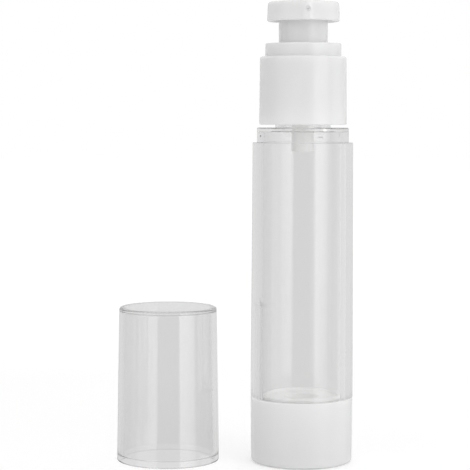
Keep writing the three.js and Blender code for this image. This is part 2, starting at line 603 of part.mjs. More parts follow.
// Clear overcap standing on its rim: tapered wall, rounded crown, and the relief inside its mouth
function overcap() {
  const ceiling = CAP_HEIGHT - CAP_TOP_WALL;
  const crownR = CAP_TOP_R - CAP_WALL;
  const cap = piece('overcap', turned([
    [0, ceiling], [crownR - CAP_INNER_EDGE, ceiling], [crownR, ceiling - CAP_INNER_EDGE],
    [CAP_SOCKET_R, CAP_MOUTH_DEPTH + CAP_LEDGE / 2], [CAP_MOUTH_R, CAP_MOUTH_DEPTH],
    [CAP_MOUTH_R, 0], [CAP_RIM_R - MOUTH_EDGE, 0], [CAP_RIM_R, MOUTH_EDGE],
    ...round(CAP_TOP_R - CAP_EDGE, CAP_HEIGHT - CAP_EDGE, CAP_EDGE, 0, 90),
    [0, CAP_HEIGHT],
  ], SHELL_SIDES), clearSan);
  cap.position.copy(CAP_SPOT);
  return cap;
}

const bottle = new THREE.Group();
bottle.add(bottleBody(), baseCup(), followerPiston());
const pump = new THREE.Group();
pump.add(neckGasket(), pumpCylinder(), inletBall(), pistonStem(), pumpPiston(), stemGuide());
pump.add(returnSpring(), screwClosure(), collarSleeve(), actuator());

const set = new THREE.Group();
set.add(bottle, pump, overcap());

export default set;
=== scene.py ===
# %% [markdown]
# A clear airless pump bottle and its overcap
#
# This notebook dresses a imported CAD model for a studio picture. The CAD solids are faceted, which
# is right for a simulation but not for clear plastic, where light bends at every facet. A modifier
# could smooth them, but it would also round what should be straight. So each piece is made again
# here as a smooth mesh, at the size and place that the CAD model gives, and then gets the finish of
# the plastic or steel that it is made of. Lengths are in millimetres unless a comment says
# otherwise, and MM turns them into Blender's metres.

# %% Load the frame
import json
import math
from collections import namedtuple

import bmesh
import bpy
from mathutils import Matrix, Vector

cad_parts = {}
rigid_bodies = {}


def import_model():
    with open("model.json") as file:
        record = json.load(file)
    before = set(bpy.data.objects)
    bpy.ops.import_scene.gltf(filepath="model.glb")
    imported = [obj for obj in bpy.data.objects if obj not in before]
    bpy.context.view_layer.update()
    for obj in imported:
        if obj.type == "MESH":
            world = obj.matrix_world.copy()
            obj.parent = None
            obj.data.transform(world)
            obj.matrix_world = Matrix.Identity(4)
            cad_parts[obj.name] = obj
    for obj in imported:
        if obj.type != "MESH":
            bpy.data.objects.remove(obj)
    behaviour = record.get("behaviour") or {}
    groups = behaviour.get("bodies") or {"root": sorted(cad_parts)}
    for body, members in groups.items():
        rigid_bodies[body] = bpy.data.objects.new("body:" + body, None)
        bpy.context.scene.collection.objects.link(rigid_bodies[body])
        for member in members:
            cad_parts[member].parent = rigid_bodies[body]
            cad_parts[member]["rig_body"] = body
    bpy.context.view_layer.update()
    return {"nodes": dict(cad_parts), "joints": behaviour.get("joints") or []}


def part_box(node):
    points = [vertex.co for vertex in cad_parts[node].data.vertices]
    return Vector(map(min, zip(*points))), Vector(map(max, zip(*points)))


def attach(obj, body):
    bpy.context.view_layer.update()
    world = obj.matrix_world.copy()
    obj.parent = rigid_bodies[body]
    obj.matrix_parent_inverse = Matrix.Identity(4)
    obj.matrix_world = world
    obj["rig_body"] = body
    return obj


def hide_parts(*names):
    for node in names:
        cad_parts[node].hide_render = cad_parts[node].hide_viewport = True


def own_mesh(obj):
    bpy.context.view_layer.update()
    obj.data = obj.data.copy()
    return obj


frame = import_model()
MM = 0.001

# %% [markdown]
# The camera
#
# The camera comes first, because it decides what shows. It stands a little higher than the bottle's
# shoulder and looks a little down, so the pump head is seen from just below and the top of the
# overcap from above. It could be placed by eye, but clear walls show every error of angle, so its
# place and its focal length in pixels are fitted to the outlines in the photograph. Blender asks
# for the focal length in millimetres on its sensor.

# %% Camera at the photograph's angle
IMAGE_PIXELS = 470
FOCAL_PIXELS = 1700
CAMERA_AT = Vector((-22.7, -571.8, 117.0)) * MM
CAMERA_DOWN = math.radians(4.04)
CAMERA_ROLL = math.radians(0.14)

scene = bpy.context.scene
scene.view_settings.view_transform = "Standard"
camera = bpy.data.objects.new("camera", bpy.data.cameras.new("camera"))
camera.data.lens = camera.data.sensor_width * FOCAL_PIXELS / IMAGE_PIXELS
look = Matrix.Rotation(math.pi / 2 - CAMERA_DOWN, 4, "X") @ Matrix.Rotation(CAMERA_ROLL, 4, "Z")
camera.matrix_world = Matrix.Translation(CAMERA_AT) @ look
scene.collection.objects.link(camera)
scene.camera = camera
print(f"Lens of {camera.data.lens:.1f} mm, {-CAMERA_AT.y / MM:.0f} mm in front of the bottle")

# %% [markdown]
# Nodes and colours
#
# Materials, the world and the geometry trees are all node trees. They could be wired by hand in
# Blender's editor, but a script can be read and changed later, so one function adds a node to any
# tree: it sets the node's own options and fills its inputs, each with a value or with a link from
# another node. Colours are written as sRGB hex values, as a paint chart gives them, and a second
# function turns them into the linear values that Blender works in.

# %% One function for nodes and one for colours
def add(tree, kind, inputs=None, **options):
    """Adds a node, sets its options, and gives each named input a value or a link."""
    node = tree.nodes.new(kind)
    for option, value in options.items():
        setattr(node, option, value)
    for key, value in (inputs or {}).items():
        if isinstance(value, bpy.types.NodeSocket):
            tree.links.new(value, node.inputs[key])
        else:
            node.inputs[key].default_value = value
    return node


def linear(hex_colour):
    """The linear RGBA of a colour such as #EDEDEB."""
    parts = [int(hex_colour[i:i + 2], 16) / 255 for i in (1, 3, 5)]
    return [p / 12.92 if p <= 0.04045 else ((p + 0.055) / 1.055) ** 2.4 for p in parts] + [1.0]


print("Linear value of a mid grey:", round(linear("#808080")[0], 3))

# %% [markdown]
# Clear styrene copolymer
#
# The tube and the overcap are moulded in a clear, glassy styrene copolymer. It bends light more
# than window glass does, and each wall takes away nearly a tenth of it. As the melt flows it leaves
# very faint upright waves and patches of slight haze. They are too shallow to see as such, but they
# keep reflected edges from looking like ground glass. Separate shaders for reflection and for
# refraction could be mixed, but one Principled shader keeps the two in step. Shadow rays and
# diffuse rays pass almost straight through, because light gathered by curved walls would come out
# as noise.

# %% Material of the tube and the overcap
FLOW_WIDTH = 7.0        # between the upright waves
FLOW_LENGTH = 90.0      # along which a wave keeps its shape
FLOW_DEPTH = 0.004
HAZE_SIZE = 12.0        # of the patches of slight haze
HAZE_ROUGHNESS = (0.01, 0.04)
CLEAR_IOR = 1.57


def new_material(name):
    """A node material with nothing in it yet, and its tree."""
    material = bpy.data.materials.new(name)
    material.use_nodes = True
    material.node_tree.nodes.clear()
    return material, material.node_tree


def end_material(tree, shader):
    """Makes a shader the surface of the material whose tree this is."""
    add(tree, "ShaderNodeOutputMaterial", {"Surface": shader.outputs[0]})


clear_san, tree = new_material("clear_styrene_copolymer")
place = add(tree, "ShaderNodeTexCoord").outputs["Object"]
stretched = add(tree, "ShaderNodeMapping", {
    "Vector": place,
    "Scale": (1 / (FLOW_WIDTH * MM), 1 / (FLOW_WIDTH * MM), 1 / (FLOW_LENGTH * MM))})
waves = add(tree, "ShaderNodeTexNoise", {"Vector": stretched.outputs[0], "Scale": 1.0, "Detail": 1.0})
wavy = add(tree, "ShaderNodeBump", {
    "Height": waves.outputs["Fac"], "Distance": FLOW_DEPTH * MM, "Strength": 1.0})
haze = add(tree, "ShaderNodeTexNoise", {"Vector": place, "Scale": 1 / (HAZE_SIZE * MM), "Detail": 3.0})
gloss = add(tree, "ShaderNodeMapRange", {
    "Value": haze.outputs["Fac"], "To Min": HAZE_ROUGHNESS[0], "To Max": HAZE_ROUGHNESS[1]})
clear = add(tree, "ShaderNodeBsdfPrincipled", {
    "Base Color": linear("#F5F5F5"), "Roughness": gloss.outputs[0], "IOR": CLEAR_IOR,
    "Transmission Weight": 1.0, "Normal": wavy.outputs[0]})
passing = add(tree, "ShaderNodeBsdfTransparent", {"Color": linear("#FEFEFE")})
path = add(tree, "ShaderNodeLightPath")
lighting = add(tree, "ShaderNodeMath", {
    0: path.outputs["Is Shadow Ray"], 1: path.outputs["Is Diffuse Ray"]}, operation="MAXIMUM")
end_material(tree, add(tree, "ShaderNodeMixShader", {
    0: lighting.outputs[0], 1: clear.outputs[0], 2: passing.outputs[0]}))
print("Made", clear_san.name)

# %% [markdown]
# Opaque plastics
#
# The base, collar and head are moulded in white polypropylene from polished tools. The skin has a
# soft gloss, light goes a little way in before it comes back, and a very fine orange peel breaks up
# the edges of reflections. The closure and most of the pump are natural polypropylene and the
# sliding seals are soft polyethylene, both duller. Both are painted paler than the white plastic,
# as painted light that makes up for the shade on the pump's nose and on the follower inside the
# tube. The gasket is foamed polyethylene with open cells. Each could have a tree of its own, but
# they differ only in a few values, so one function makes all four. The shade drifts a little over
# each piece, as pigment does.

# %% Materials of the opaque plastics
PEEL_SIZE = 0.9         # between the bumps of the orange peel
PEEL_DEPTH = 0.0015
FOAM_DEPTH = 0.03       # of the gasket's open cells
DRIFT_SIZE = 25.0       # of the patches of pigment drift
SATIN_SIZE = 5.0        # of the patches of gloss
GLOW_DEPTH = 2.0        # how far light goes in
PLASTIC_IOR = 1.49


def moulded(name, pale, dark, rough, subsurface, peel_depth=PEEL_DEPTH):
    """An opaque moulded plastic between two close shades, with its range of roughness."""
    material, tree = new_material(name)
    place = add(tree, "ShaderNodeTexCoord").outputs["Object"]
    drift = add(tree, "ShaderNodeTexNoise", {
        "Vector": place, "Scale": 1 / (DRIFT_SIZE * MM), "Detail": 2.0})
    shade = add(tree, "ShaderNodeMix", {
        "Factor": drift.outputs["Fac"], "A": linear(dark), "B": linear(pale)}, data_type="RGBA")
    satin = add(tree, "ShaderNodeTexNoise", {
        "Vector": place, "Scale": 1 / (SATIN_SIZE * MM), "Detail": 4.0})
    gloss = add(tree, "ShaderNodeMapRange", {
        "Value": satin.outputs["Fac"], "To Min": rough[0], "To Max": rough[1]})
    peel = add(tree, "ShaderNodeTexNoise", {
        "Vector": place, "Scale": 1 / (PEEL_SIZE * MM), "Detail": 2.0})
    bumpy = add(tree, "ShaderNodeBump", {
        "Height": peel.outputs["Fac"], "Distance": peel_depth * MM, "Strength": 1.0})
    end_material(tree, add(tree, "ShaderNodeBsdfPrincipled", {
        "Base Color": shade.outputs["Result"], "Roughness": gloss.outputs[0], "IOR": PLASTIC_IOR,
        "Subsurface Weight": subsurface, "Subsurface Radius": (1.0, 1.0, 1.0),
        "Subsurface Scale": GLOW_DEPTH * MM, "Normal": bumpy.outputs[0]}))
    print("Made", name)
    return material


white_pp = moulded("white_polypropylene", "#F8F8F8", "#F4F4F4", (0.14, 0.22), 1.0)
# Painted light: the next two shades are paler than these plastics are, to make up for the shade that the
# pump's nose and the follower sit in.
natural_pp = moulded("natural_polypropylene", "#FDFDFC", "#FAFAF9", (0.3, 0.42), 0.0)
soft_pe = moulded("soft_polyethylene", "#FBFBFA", "#F8F8F7", (0.42, 0.55), 0.1)
foam_pe = moulded("foamed_polyethylene", "#E6E5E0", "#DAD8D2", (0.75, 0.9), 0.2, FOAM_DEPTH)

# %% [markdown]
# Stainless steel
#
# The spring is drawn wire and the valve ball is ground steel. Both are hidden until the bottle is
# taken apart, so one steel serves for both instead of two. Its gloss and its tone vary with fine
# marks, which give the soft sheen of worked metal. Steel keeps Blender's default index of
# refraction, because the metal model takes its colour from the base colour.

# %% Material of the spring and the ball
DRAW_SIZE = 0.25        # between marks, far coarser than real ones so that they show close up
STEEL_ROUGHNESS = (0.14, 0.34)

stainless, tree = new_material("stainless_steel")
place = add(tree, "ShaderNodeTexCoord").outputs["Object"]
marks = add(tree, "ShaderNodeTexNoise", {"Vector": place, "Scale": 1 / (DRAW_SIZE * MM), "Detail": 3.0})
gloss = add(tree, "ShaderNodeMapRange", {
    "Value": marks.outputs["Fac"], "To Min": STEEL_ROUGHNESS[0], "To Max": STEEL_ROUGHNESS[1]})
tone = add(tree, "ShaderNodeMix", {
    "Factor": marks.outputs["Fac"], "A": linear("#B9BCBE"), "B": linear("#D2D4D5")}, data_type="RGBA")
end_material(tree, add(tree, "ShaderNodeBsdfPrincipled", {
    "Base Color": tone.outputs["Result"], "Metallic": 1.0, "Roughness": gloss.outputs[0]}))
print("Made", stainless.name)

# %% [markdown]
# Outlines
#
# Nearly every piece of a pump bottle is round, so half of its section says all about it. An outline
# is a list of corners, each a radius and a height and, where the mould has one, a fillet as a third
# number. Every real moulding has fillets, and they are what catches the light along an edge. A
# Bevel modifier could round the edges afterwards, but it rounds them all alike, so each arc goes
# into the outline instead.

# %% Round boxes and fillets
ARC_STEPS = 6           # facets in a fillet
Round = namedtuple("Round", "x y radius low high")


def round_box(node):
    """Middle, radius, foot and top of a round CAD node, in millimetres."""
    low, high = (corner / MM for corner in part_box(node))
    middle = (low + high) / 2
    return Round(middle.x, middle.y, (high.x - low.x) / 2, low.z, high.z)


def filleted(corners):
    """Points of an outline in which each corner (radius, height, fillet) becomes a tangent arc."""
    points = []
    for i, (radius, height, *fillet) in enumerate(corners):
        corner = Vector((radius, height))
        if not fillet:
            points.append(corner)
            continue
        to_last = (Vector(corners[i - 1][:2]) - corner).normalized()
        to_next = (Vector(corners[(i + 1) % len(corners)][:2]) - corner).normalized()
        half = to_last.angle(to_next) / 2
        centre = corner + (to_last + to_next).normalized() * fillet[0] / math.sin(half)
        first = corner + to_last * fillet[0] / math.tan(half) - centre
        last = corner + to_next * fillet[0] / math.tan(half) - centre
        turn = math.atan2(first.cross(last), first.dot(last))
        for step in range(ARC_STEPS + 1):
            points.append(centre + Matrix.Rotation(turn * step / ARC_STEPS, 2) @ first)
    return points


sample = filleted([(0, 0), (2, 0, 1), (2, 3)])
print("A fillet of 1 mm on a right angle at 2, 0 runs from", sample[1][:], "to", sample[-2][:])

# %% [markdown]
# Skins and turned pieces
#
# A piece is a closed skin over loops of points: each loop is joined to the next, and the last to
# the first. For a turned piece the loops are circles in fine steps, one for each point of its
# outline. A Screw modifier could turn an outline too, but a skin over loops also serves for the
# pump head, whose loops aren't round. A loop that has shrunk to one point closes a pole.

# %% Lofting and turning
SIDES = 192             # facets round a turned piece


def lofted(name, loops):
    """A closed skin over loops of equal length. A loop of one repeated point is a pole."""
    shape = bmesh.new()
    rows = []
    for loop in loops:
        if loop[0] == loop[1]:
            rows.append([shape.verts.new(loop[0] * MM)] * len(loop))
        else:
            rows.append([shape.verts.new(point * MM) for point in loop])
    for low, high in zip(rows, rows[1:] + rows[:1]):
        for k in range(len(low)):
            corners = dict.fromkeys((low[k - 1], low[k], high[k], high[k - 1]))
            if len(corners) > 2:
                shape.faces.new(corners)
    bmesh.ops.recalc_face_normals(shape, faces=shape.faces)
    piece = bpy.data.objects.new(name, bpy.data.meshes.new(name))
    shape.to_mesh(piece.data)
    shape.free()
    scene.collection.objects.link(piece)
    return piece


def turned(name, outline, x=0.0, y=0.0):
    """A closed piece turned about an upright axis from points of radius and height."""
    spokes = [Matrix.Rotation(2 * math.pi * k / SIDES, 2) @ Vector((1, 0)) for k in range(SIDES)]
    return lofted(name, [
        [Vector((x + radius * s.x, y + radius * s.y, height)) for s in spokes]
        for radius, height in outline])


print("A turned piece has a facet every", round(360 / SIDES, 2), "degrees")

# %% [markdown]
# Joining and cutting
#
# Lugs and threads are moulded in one with the piece that carries them, and a few holes run off the
# axis or across it. They could be modelled into the skin face by face. A boolean is simpler and
# leaves a closed skin as well. It is settled into a plain mesh at once, so that nothing depends on
# its tool afterwards, and the slivers that it leaves where faces nearly meet are dissolved.

# %% Booleans
SLIVER = 0.003          # the shortest edge that a boolean may leave


def settle(piece):
    """Turns what a piece's modifiers make into its own plain mesh."""
    depsgraph = bpy.context.evaluated_depsgraph_get()
    piece.data = bpy.data.meshes.new_from_object(piece.evaluated_get(depsgraph))
    piece.modifiers.clear()
    return piece


def combine(piece, operation, tool):
    """Joins a tool to a piece, or cuts it out of the piece, and throws the tool away."""
    modifier = piece.modifiers.new("combine", "BOOLEAN")
    modifier.operation = operation
    modifier.solver = "MANIFOLD"
    modifier.object = tool
    settle(piece)
    bpy.data.objects.remove(tool)
    shape = bmesh.new()
    shape.from_mesh(piece.data)
    bmesh.ops.dissolve_degenerate(shape, dist=SLIVER * MM, edges=shape.edges)
    shape.to_mesh(piece.data)
    shape.free()


print("Booleans leave no edge shorter than", SLIVER, "mm")

# %% [markdown]
# Dressing
#
# A finished piece gets its material and smooth shading, rides on the CAD body that it belongs to,
# and stands in for the faceted node. Subdivision would smooth it too, at the price of many more
# faces. Weighted normals do it with none, and keep large faces flat next to narrow fillets, which
# matters most on clear walls.

# %% Dressing a piece
SHARP_EDGE = math.radians(40)


def box_of(piece):
    """Lowest and highest corner of a piece's mesh."""
    points = [v.co for v in piece.data.vertices]
    return [Vector(pick(axis) for axis in zip(*points)) for pick in (min, max)]


def dress(piece, node, material):
    """Finishes a piece and puts it in the place of its CAD node."""
    piece.data.materials.clear()
    piece.data.materials.append(material)
    piece.data.shade_smooth()
    piece.data.set_sharp_from_angle(angle=SHARP_EDGE)
    piece.modifiers.new("flat faces", "WEIGHTED_NORMAL").keep_sharp = True
    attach(piece, frame["nodes"][node]["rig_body"])
    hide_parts(node)
    grew = max(abs(a - b) for mine, cad in zip(box_of(piece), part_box(node)) for a, b in zip(mine, cad))
    print(f"{piece.name}: {len(piece.data.polygons)} faces, box within {grew / MM:.2f} mm of {node}")


# %% [markdown]
# Trees for what repeats
#
# Three shapes on this bottle follow a rule: lugs and ribs stand evenly round a wall, a thread is a
# ridge that climbs a wall, and the spring is a wire on a helix. Loops over mesh points could make
# them, but a small Geometry Nodes tree with its sizes as named inputs shows the rule itself. The
# result is settled into a plain mesh, so that nothing depends on the tree afterwards.

# %% Starting, ending and running a tree
def new_tree(name, inputs):
    """An empty geometry tree with named inputs, and the sockets that give them out."""
    tree = bpy.data.node_groups.new(name, "GeometryNodeTree")
    for label, kind in {**inputs, "Material": "Material"}.items():
        tree.interface.new_socket(label, in_out="INPUT", socket_type="NodeSocket" + kind)
    tree.interface.new_socket("Geometry", in_out="OUTPUT", socket_type="NodeSocketGeometry")
    return tree, add(tree, "NodeGroupInput").outputs


def end_tree(tree, geometry, given):
    """Closes a tree: instances become real, and get the material."""
    real = add(tree, "GeometryNodeRealizeInstances", {"Geometry": geometry})
    painted = add(tree, "GeometryNodeSetMaterial", {
        "Geometry": real.outputs[0], "Material": given["Material"]})
    add(tree, "NodeGroupOutput", {"Geometry": painted.outputs[0]})
    inputs = [socket.name for socket in tree.interface.items_tree if socket.in_out == "INPUT"]
    print("Made tree", tree.name, "with inputs", inputs)
    return tree


def grown(name, tree, sizes):
    """A plain mesh object grown by a tree from sizes in metres, counts and objects."""
    piece = bpy.data.objects.new(name, bpy.data.meshes.new(name))
    scene.collection.objects.link(piece)
    modifier = piece.modifiers.new(tree.name, "NODES")
    modifier.node_group = tree
    for socket in tree.interface.items_tree:
        if socket.name in sizes:
            modifier[socket.identifier] = sizes[socket.name]
    return settle(piece)


print("Trees before the first one is made:", len(bpy.data.node_groups))

# %% [markdown]
# Copies round a wall
#
# Lugs hold the overcap and ribs drive the closure, and a mould has them spaced evenly round a wall.
# An Array modifier could turn copies about an empty. A mesh circle gives the spots with no helper
# object, and each copy's X axis is turned to point outward.

# %% Tree of evenly spaced copies
tree, given = new_tree("spaced_round", {
    "Shape": "Object", "Count": "Int", "Radius": "Float", "Height": "Float", "Turn": "Float"})
shape = add(tree, "GeometryNodeObjectInfo", {"Object": given["Shape"]})
spots = add(tree, "GeometryNodeMeshCircle", {"Vertices": given["Count"], "Radius": given["Radius"]})
outward = add(tree, "FunctionNodeAlignRotationToVector", {
    "Vector": add(tree, "GeometryNodeInputPosition").outputs[0]}, axis="X", pivot_axis="Z")
copies = add(tree, "GeometryNodeInstanceOnPoints", {
    "Points": spots.outputs[0], "Instance": shape.outputs["Geometry"], "Rotation": outward.outputs[0]})
lift = add(tree, "ShaderNodeCombineXYZ", {"Z": given["Height"]})
spin = add(tree, "ShaderNodeCombineXYZ", {"Z": given["Turn"]})
placed = add(tree, "GeometryNodeTransform", {
    "Geometry": copies.outputs[0], "Translation": lift.outputs[0], "Rotation": spin.outputs[0]})
spaced_round = end_tree(tree, placed.outputs[0], given)

# %% [markdown]
# A screw thread
#
# The thread of a bottle is a low rounded ridge that climbs the wall for a turn or two and sinks into
# it at both ends. A Screw modifier makes an even ridge with blunt ends. A spiral curve can carry a
# round section that changes its size along the way, so the ridge fades as on a real neck.

# %% Tree of a thread's ridge
THREAD_STEPS = 96       # points in a turn of the thread
WIRE_SIDES = 14         # sides of a ridge's or a wire's section
FADE_SHARE = 0.1        # share of the thread's length in which an end swells to full size
FADE_START = 0.3        # size at the very end

tree, given = new_tree("screw_thread", {
    "Radius": "Float", "Lead": "Float", "Turns": "Float", "Ridge": "Float", "Foot": "Float"})
rise = add(tree, "ShaderNodeMath", {0: given["Lead"], 1: given["Turns"]}, operation="MULTIPLY")
path = add(tree, "GeometryNodeCurveSpiral", {
    "Resolution": THREAD_STEPS, "Rotations": given["Turns"], "Start Radius": given["Radius"],
    "End Radius": given["Radius"], "Height": rise.outputs[0]})
along = add(tree, "GeometryNodeSplineParameter").outputs["Factor"]
left = add(tree, "ShaderNodeMath", {0: 1.0, 1: along}, operation="SUBTRACT")
nearest = add(tree, "ShaderNodeMath", {0: along, 1: left.outputs[0]}, operation="MINIMUM")
swell = add(tree, "ShaderNodeMapRange", {
    "Value": nearest.outputs[0], "From Max": FADE_SHARE, "To Min": FADE_START, "To Max": 1.0})
section = add(tree, "GeometryNodeCurvePrimitiveCircle", {
    "Resolution": WIRE_SIDES, "Radius": given["Ridge"]})
ridge = add(tree, "GeometryNodeCurveToMesh", {
    "Curve": path.outputs[0], "Profile Curve": section.outputs[0], "Scale": swell.outputs[0],
    "Fill Caps": True})
lift = add(tree, "ShaderNodeCombineXYZ", {"Z": given["Foot"]})
placed = add(tree, "GeometryNodeTransform", {
    "Geometry": ridge.outputs[0], "Translation": lift.outputs[0]})
screw_thread = end_tree(tree, placed.outputs[0], given)

# %% [markdown]
# A compression spring
#
# The end turns of a wound spring lie closer together than the open turns between, so that it stands
# square. Three spirals could be joined end to end. One wire is truer, so one spiral is made and
# each of its points gets a new height: the turns up to that point are counted as end turns and open
# turns, and each kind climbs by its own pitch.

# %% Tree of a spring with closer end turns
SPRING_STEPS = 48       # points in a turn of the spring

tree, given = new_tree("wound_spring", {
    "Coil": "Float", "Wire": "Float", "Foot": "Float", "Rise": "Float", "Turns": "Float",
    "End Turns": "Float", "End Pitch": "Float"})
path = add(tree, "GeometryNodeCurveSpiral", {
    "Resolution": SPRING_STEPS, "Rotations": given["Turns"], "Start Radius": given["Coil"],
    "End Radius": given["Coil"], "Height": given["Rise"]})
along = add(tree, "GeometryNodeSplineParameter").outputs["Factor"]
turn = add(tree, "ShaderNodeMath", {0: along, 1: given["Turns"]}, operation="MULTIPLY")
open_turns = add(tree, "ShaderNodeMath", {
    0: given["End Turns"], 1: -2.0, 2: given["Turns"]}, operation="MULTIPLY_ADD")
past_end = add(tree, "ShaderNodeMath", {0: turn.outputs[0], 1: given["End Turns"]}, operation="SUBTRACT")
in_open = add(tree, "ShaderNodeClamp", {"Value": past_end.outputs[0], "Max": open_turns.outputs[0]})
in_ends = add(tree, "ShaderNodeMath", {0: turn.outputs[0], 1: in_open.outputs[0]}, operation="SUBTRACT")
close_turns = add(tree, "ShaderNodeMath", {0: given["End Turns"], 1: 2.0}, operation="MULTIPLY")
close_rise = add(tree, "ShaderNodeMath", {
    0: close_turns.outputs[0], 1: given["End Pitch"]}, operation="MULTIPLY")
open_rise = add(tree, "ShaderNodeMath", {0: given["Rise"], 1: close_rise.outputs[0]}, operation="SUBTRACT")
open_pitch = add(tree, "ShaderNodeMath", {
    0: open_rise.outputs[0], 1: open_turns.outputs[0]}, operation="DIVIDE")
from_ends = add(tree, "ShaderNodeMath", {
    0: in_ends.outputs[0], 1: given["End Pitch"], 2: given["Foot"]}, operation="MULTIPLY_ADD")
height = add(tree, "ShaderNodeMath", {
    0: in_open.outputs[0], 1: open_pitch.outputs[0], 2: from_ends.outputs[0]}, operation="MULTIPLY_ADD")
flat = add(tree, "ShaderNodeSeparateXYZ", {0: add(tree, "GeometryNodeInputPosition").outputs[0]})
point = add(tree, "ShaderNodeCombineXYZ", {
    "X": flat.outputs["X"], "Y": flat.outputs["Y"], "Z": height.outputs[0]})
coiled = add(tree, "GeometryNodeSetPosition", {"Geometry": path.outputs[0], "Position": point.outputs[0]})
section = add(tree, "GeometryNodeCurvePrimitiveCircle", {
    "Resolution": WIRE_SIDES, "Radius": given["Wire"]})
wire = add(tree, "GeometryNodeCurveToMesh", {
    "Curve": coiled.outputs[0], "Profile Curve": section.outputs[0], "Fill Caps": True})
wound_spring = end_tree(tree, wire.outputs[0], given)

# %% [markdown]
# The clear body
#
# One moulding makes the tube, its shoulder, the snap ring for the overcap, the top plate and the
# threaded neck, so it is turned in one go and light meets no seam inside the wall. Below the visible
# foot, a thinner spigot goes on into the white base. On the real bottle it is one with the tube.
# Here a gap of a hair's breadth parts them, because a spigot joined to the tube pipes the dark of
# the base up into the wall and makes its foot black.

# %% Tube, shoulder, neck and spigot
NECK_HEIGHT = 13.2
NECK_RADIUS = 9.33
NECK_BORE = 6.95
PLATE_THICKNESS = 1.35
SNAP_RING_HEIGHT = 5.0
SHOULDER_STEP = 1.45
BODY_DRAFT = 0.41
BODY_WALL = 3.46
SPIGOT_WALL = 2.0
FOOT_GAP = 0.03         # between the base and the tube's foot, above the spigot

body = round_box("bottle_body")
base = round_box("base_cup")
shoulder_radius = body.radius - BODY_DRAFT
bore = shoulder_radius - BODY_WALL
spigot = bore + SPIGOT_WALL
ring_radius = shoulder_radius - SHOULDER_STEP
plate_top = body.high - NECK_HEIGHT
plate_under = plate_top - PLATE_THICKNESS
shoulder = plate_top - SNAP_RING_HEIGHT
foot = base.high + FOOT_GAP

clear_body = turned("clear_body", filleted([
    (bore, foot, 0.05), (body.radius, foot, 0.1),
    (shoulder_radius, shoulder, 0.12), (ring_radius, shoulder, 0.05), (ring_radius, plate_top, 0.45),
    (NECK_RADIUS, plate_top, 0.05), (NECK_RADIUS, body.high, 0.4), (NECK_BORE, body.high, 0.25),
    (NECK_BORE, plate_under, 0.15), (bore, plate_under, 0.08)]))
spigot_ring = turned("spigot", filleted([
    (bore, body.low, 0.4), (spigot, body.low, 0.4), (spigot, base.high, 0.05), (bore, base.high, 0.05)]))
combine(clear_body, "UNION", spigot_ring)
print(f"Clear wall of {BODY_WALL} mm round a bore of {2 * bore:.1f} mm")

# %% [markdown]
# Lugs and neck thread
#
# Four low lugs on the snap ring make the overcap click, and a thread on the neck holds the closure.
# A box with a Bevel modifier would be too crisp for a lug this small, so a lug is a shape between
# an ellipsoid and a box, and most of it lies inside the ring. Lugs and thread are joined to the
# body, as the real ones are moulded with it.

# %% Lugs and thread of the body
HALF_STEPS = 24         # facets from pole to pole
LUG_COUNT = 4
LUG_TURN = math.radians(-160)
LUG_HALF = Vector((0.8, 1.7, 0.75))   # half sizes: outward, along the ring, up
LUG_SINK = 0.68         # how deep a lug's middle lies in the ring
LUG_SQUARE = 0.45       # 1 is an ellipsoid, 0 is a box
THREAD_LEAD = 3.0
THREAD_TURNS = 1.75
THREAD_RIDGE = 0.62     # radius of the ridge's section
THREAD_PROUD = 0.4      # how far the ridge stands out of its wall
THREAD_RISE = 5.8       # from the plate up to the thread's start


def squared(value):
    """Pushes a sine or cosine towards a square wave, which makes an ellipse a rounded box."""
    return math.copysign(abs(value) ** LUG_SQUARE, value)


half_angles = [math.pi * k / HALF_STEPS for k in range(1, HALF_STEPS)]
half_round = [(0, -1)] + [(math.sin(a), -math.cos(a)) for a in half_angles] + [(0, 1)]
lug_angles = [math.pi * k / HALF_STEPS for k in range(2 * HALF_STEPS)]
lug = lofted("lug", [
    [Vector((LUG_HALF.x * squared(s) * math.cos(a), LUG_HALF.y * squared(s) * math.sin(a),
             LUG_HALF.z * squared(c))) for a in lug_angles] for s, c in half_round])
lugs = grown("lugs", spaced_round, {
    "Shape": lug, "Count": LUG_COUNT, "Radius": (ring_radius - LUG_SINK) * MM, "Turn": LUG_TURN,
    "Height": (shoulder + SNAP_RING_HEIGHT / 2) * MM})
thread_foot = plate_top + THREAD_RISE
thread = grown("neck_thread", screw_thread, {
    "Radius": (NECK_RADIUS + THREAD_PROUD - THREAD_RIDGE) * MM, "Lead": THREAD_LEAD * MM,
    "Turns": THREAD_TURNS, "Ridge": THREAD_RIDGE * MM, "Foot": thread_foot * MM})
bpy.data.objects.remove(lug)
combine(clear_body, "UNION", lugs)
combine(clear_body, "UNION", thread)
dress(clear_body, "bottle_body", clear_san)

# %% [markdown]
# The white base
#
# A plain cup is pushed over the spigot. Its lower edge is generously rounded, and a small hole in
# its floor lets air in under the follower. The hole could be a dark spot in the material, but then
# it would close when seen from near. It is drilled with a boolean, as it is not on the axis.

# %% Base cup with its vent
BASE_DRAFT = 0.2
BASE_FLOOR = 1.6
BASE_EDGE = 1.1
PRESS_GAP = 0.15        # between pieces pushed together
VENT_RADIUS = 0.8
VENT_OFFSET = 8.0
VENT_MOUTH = 0.3        # depth and width of the chamfer at its lower end
CUT_PAST = 1.0          # how far a cutting tool runs past the face that it opens

white_base = turned("white_base", filleted([
    (0, 0), (base.radius - BASE_DRAFT, 0, BASE_EDGE), (base.radius, base.high, 0.06),
    (spigot + PRESS_GAP, base.high, 0.1), (spigot + PRESS_GAP, BASE_FLOOR, 0.6), (0, BASE_FLOOR)]))
vent = turned("vent", filleted([
    (0, -CUT_PAST), (VENT_RADIUS + VENT_MOUTH, -CUT_PAST), (VENT_RADIUS + VENT_MOUTH, 0, 0.25),
    (VENT_RADIUS, VENT_MOUTH, 0.25), (VENT_RADIUS, BASE_FLOOR + CUT_PAST),
    (0, BASE_FLOOR + CUT_PAST)]), y=VENT_OFFSET)
combine(white_base, "DIFFERENCE", vent)
dress(white_base, "base_cup", white_pp)

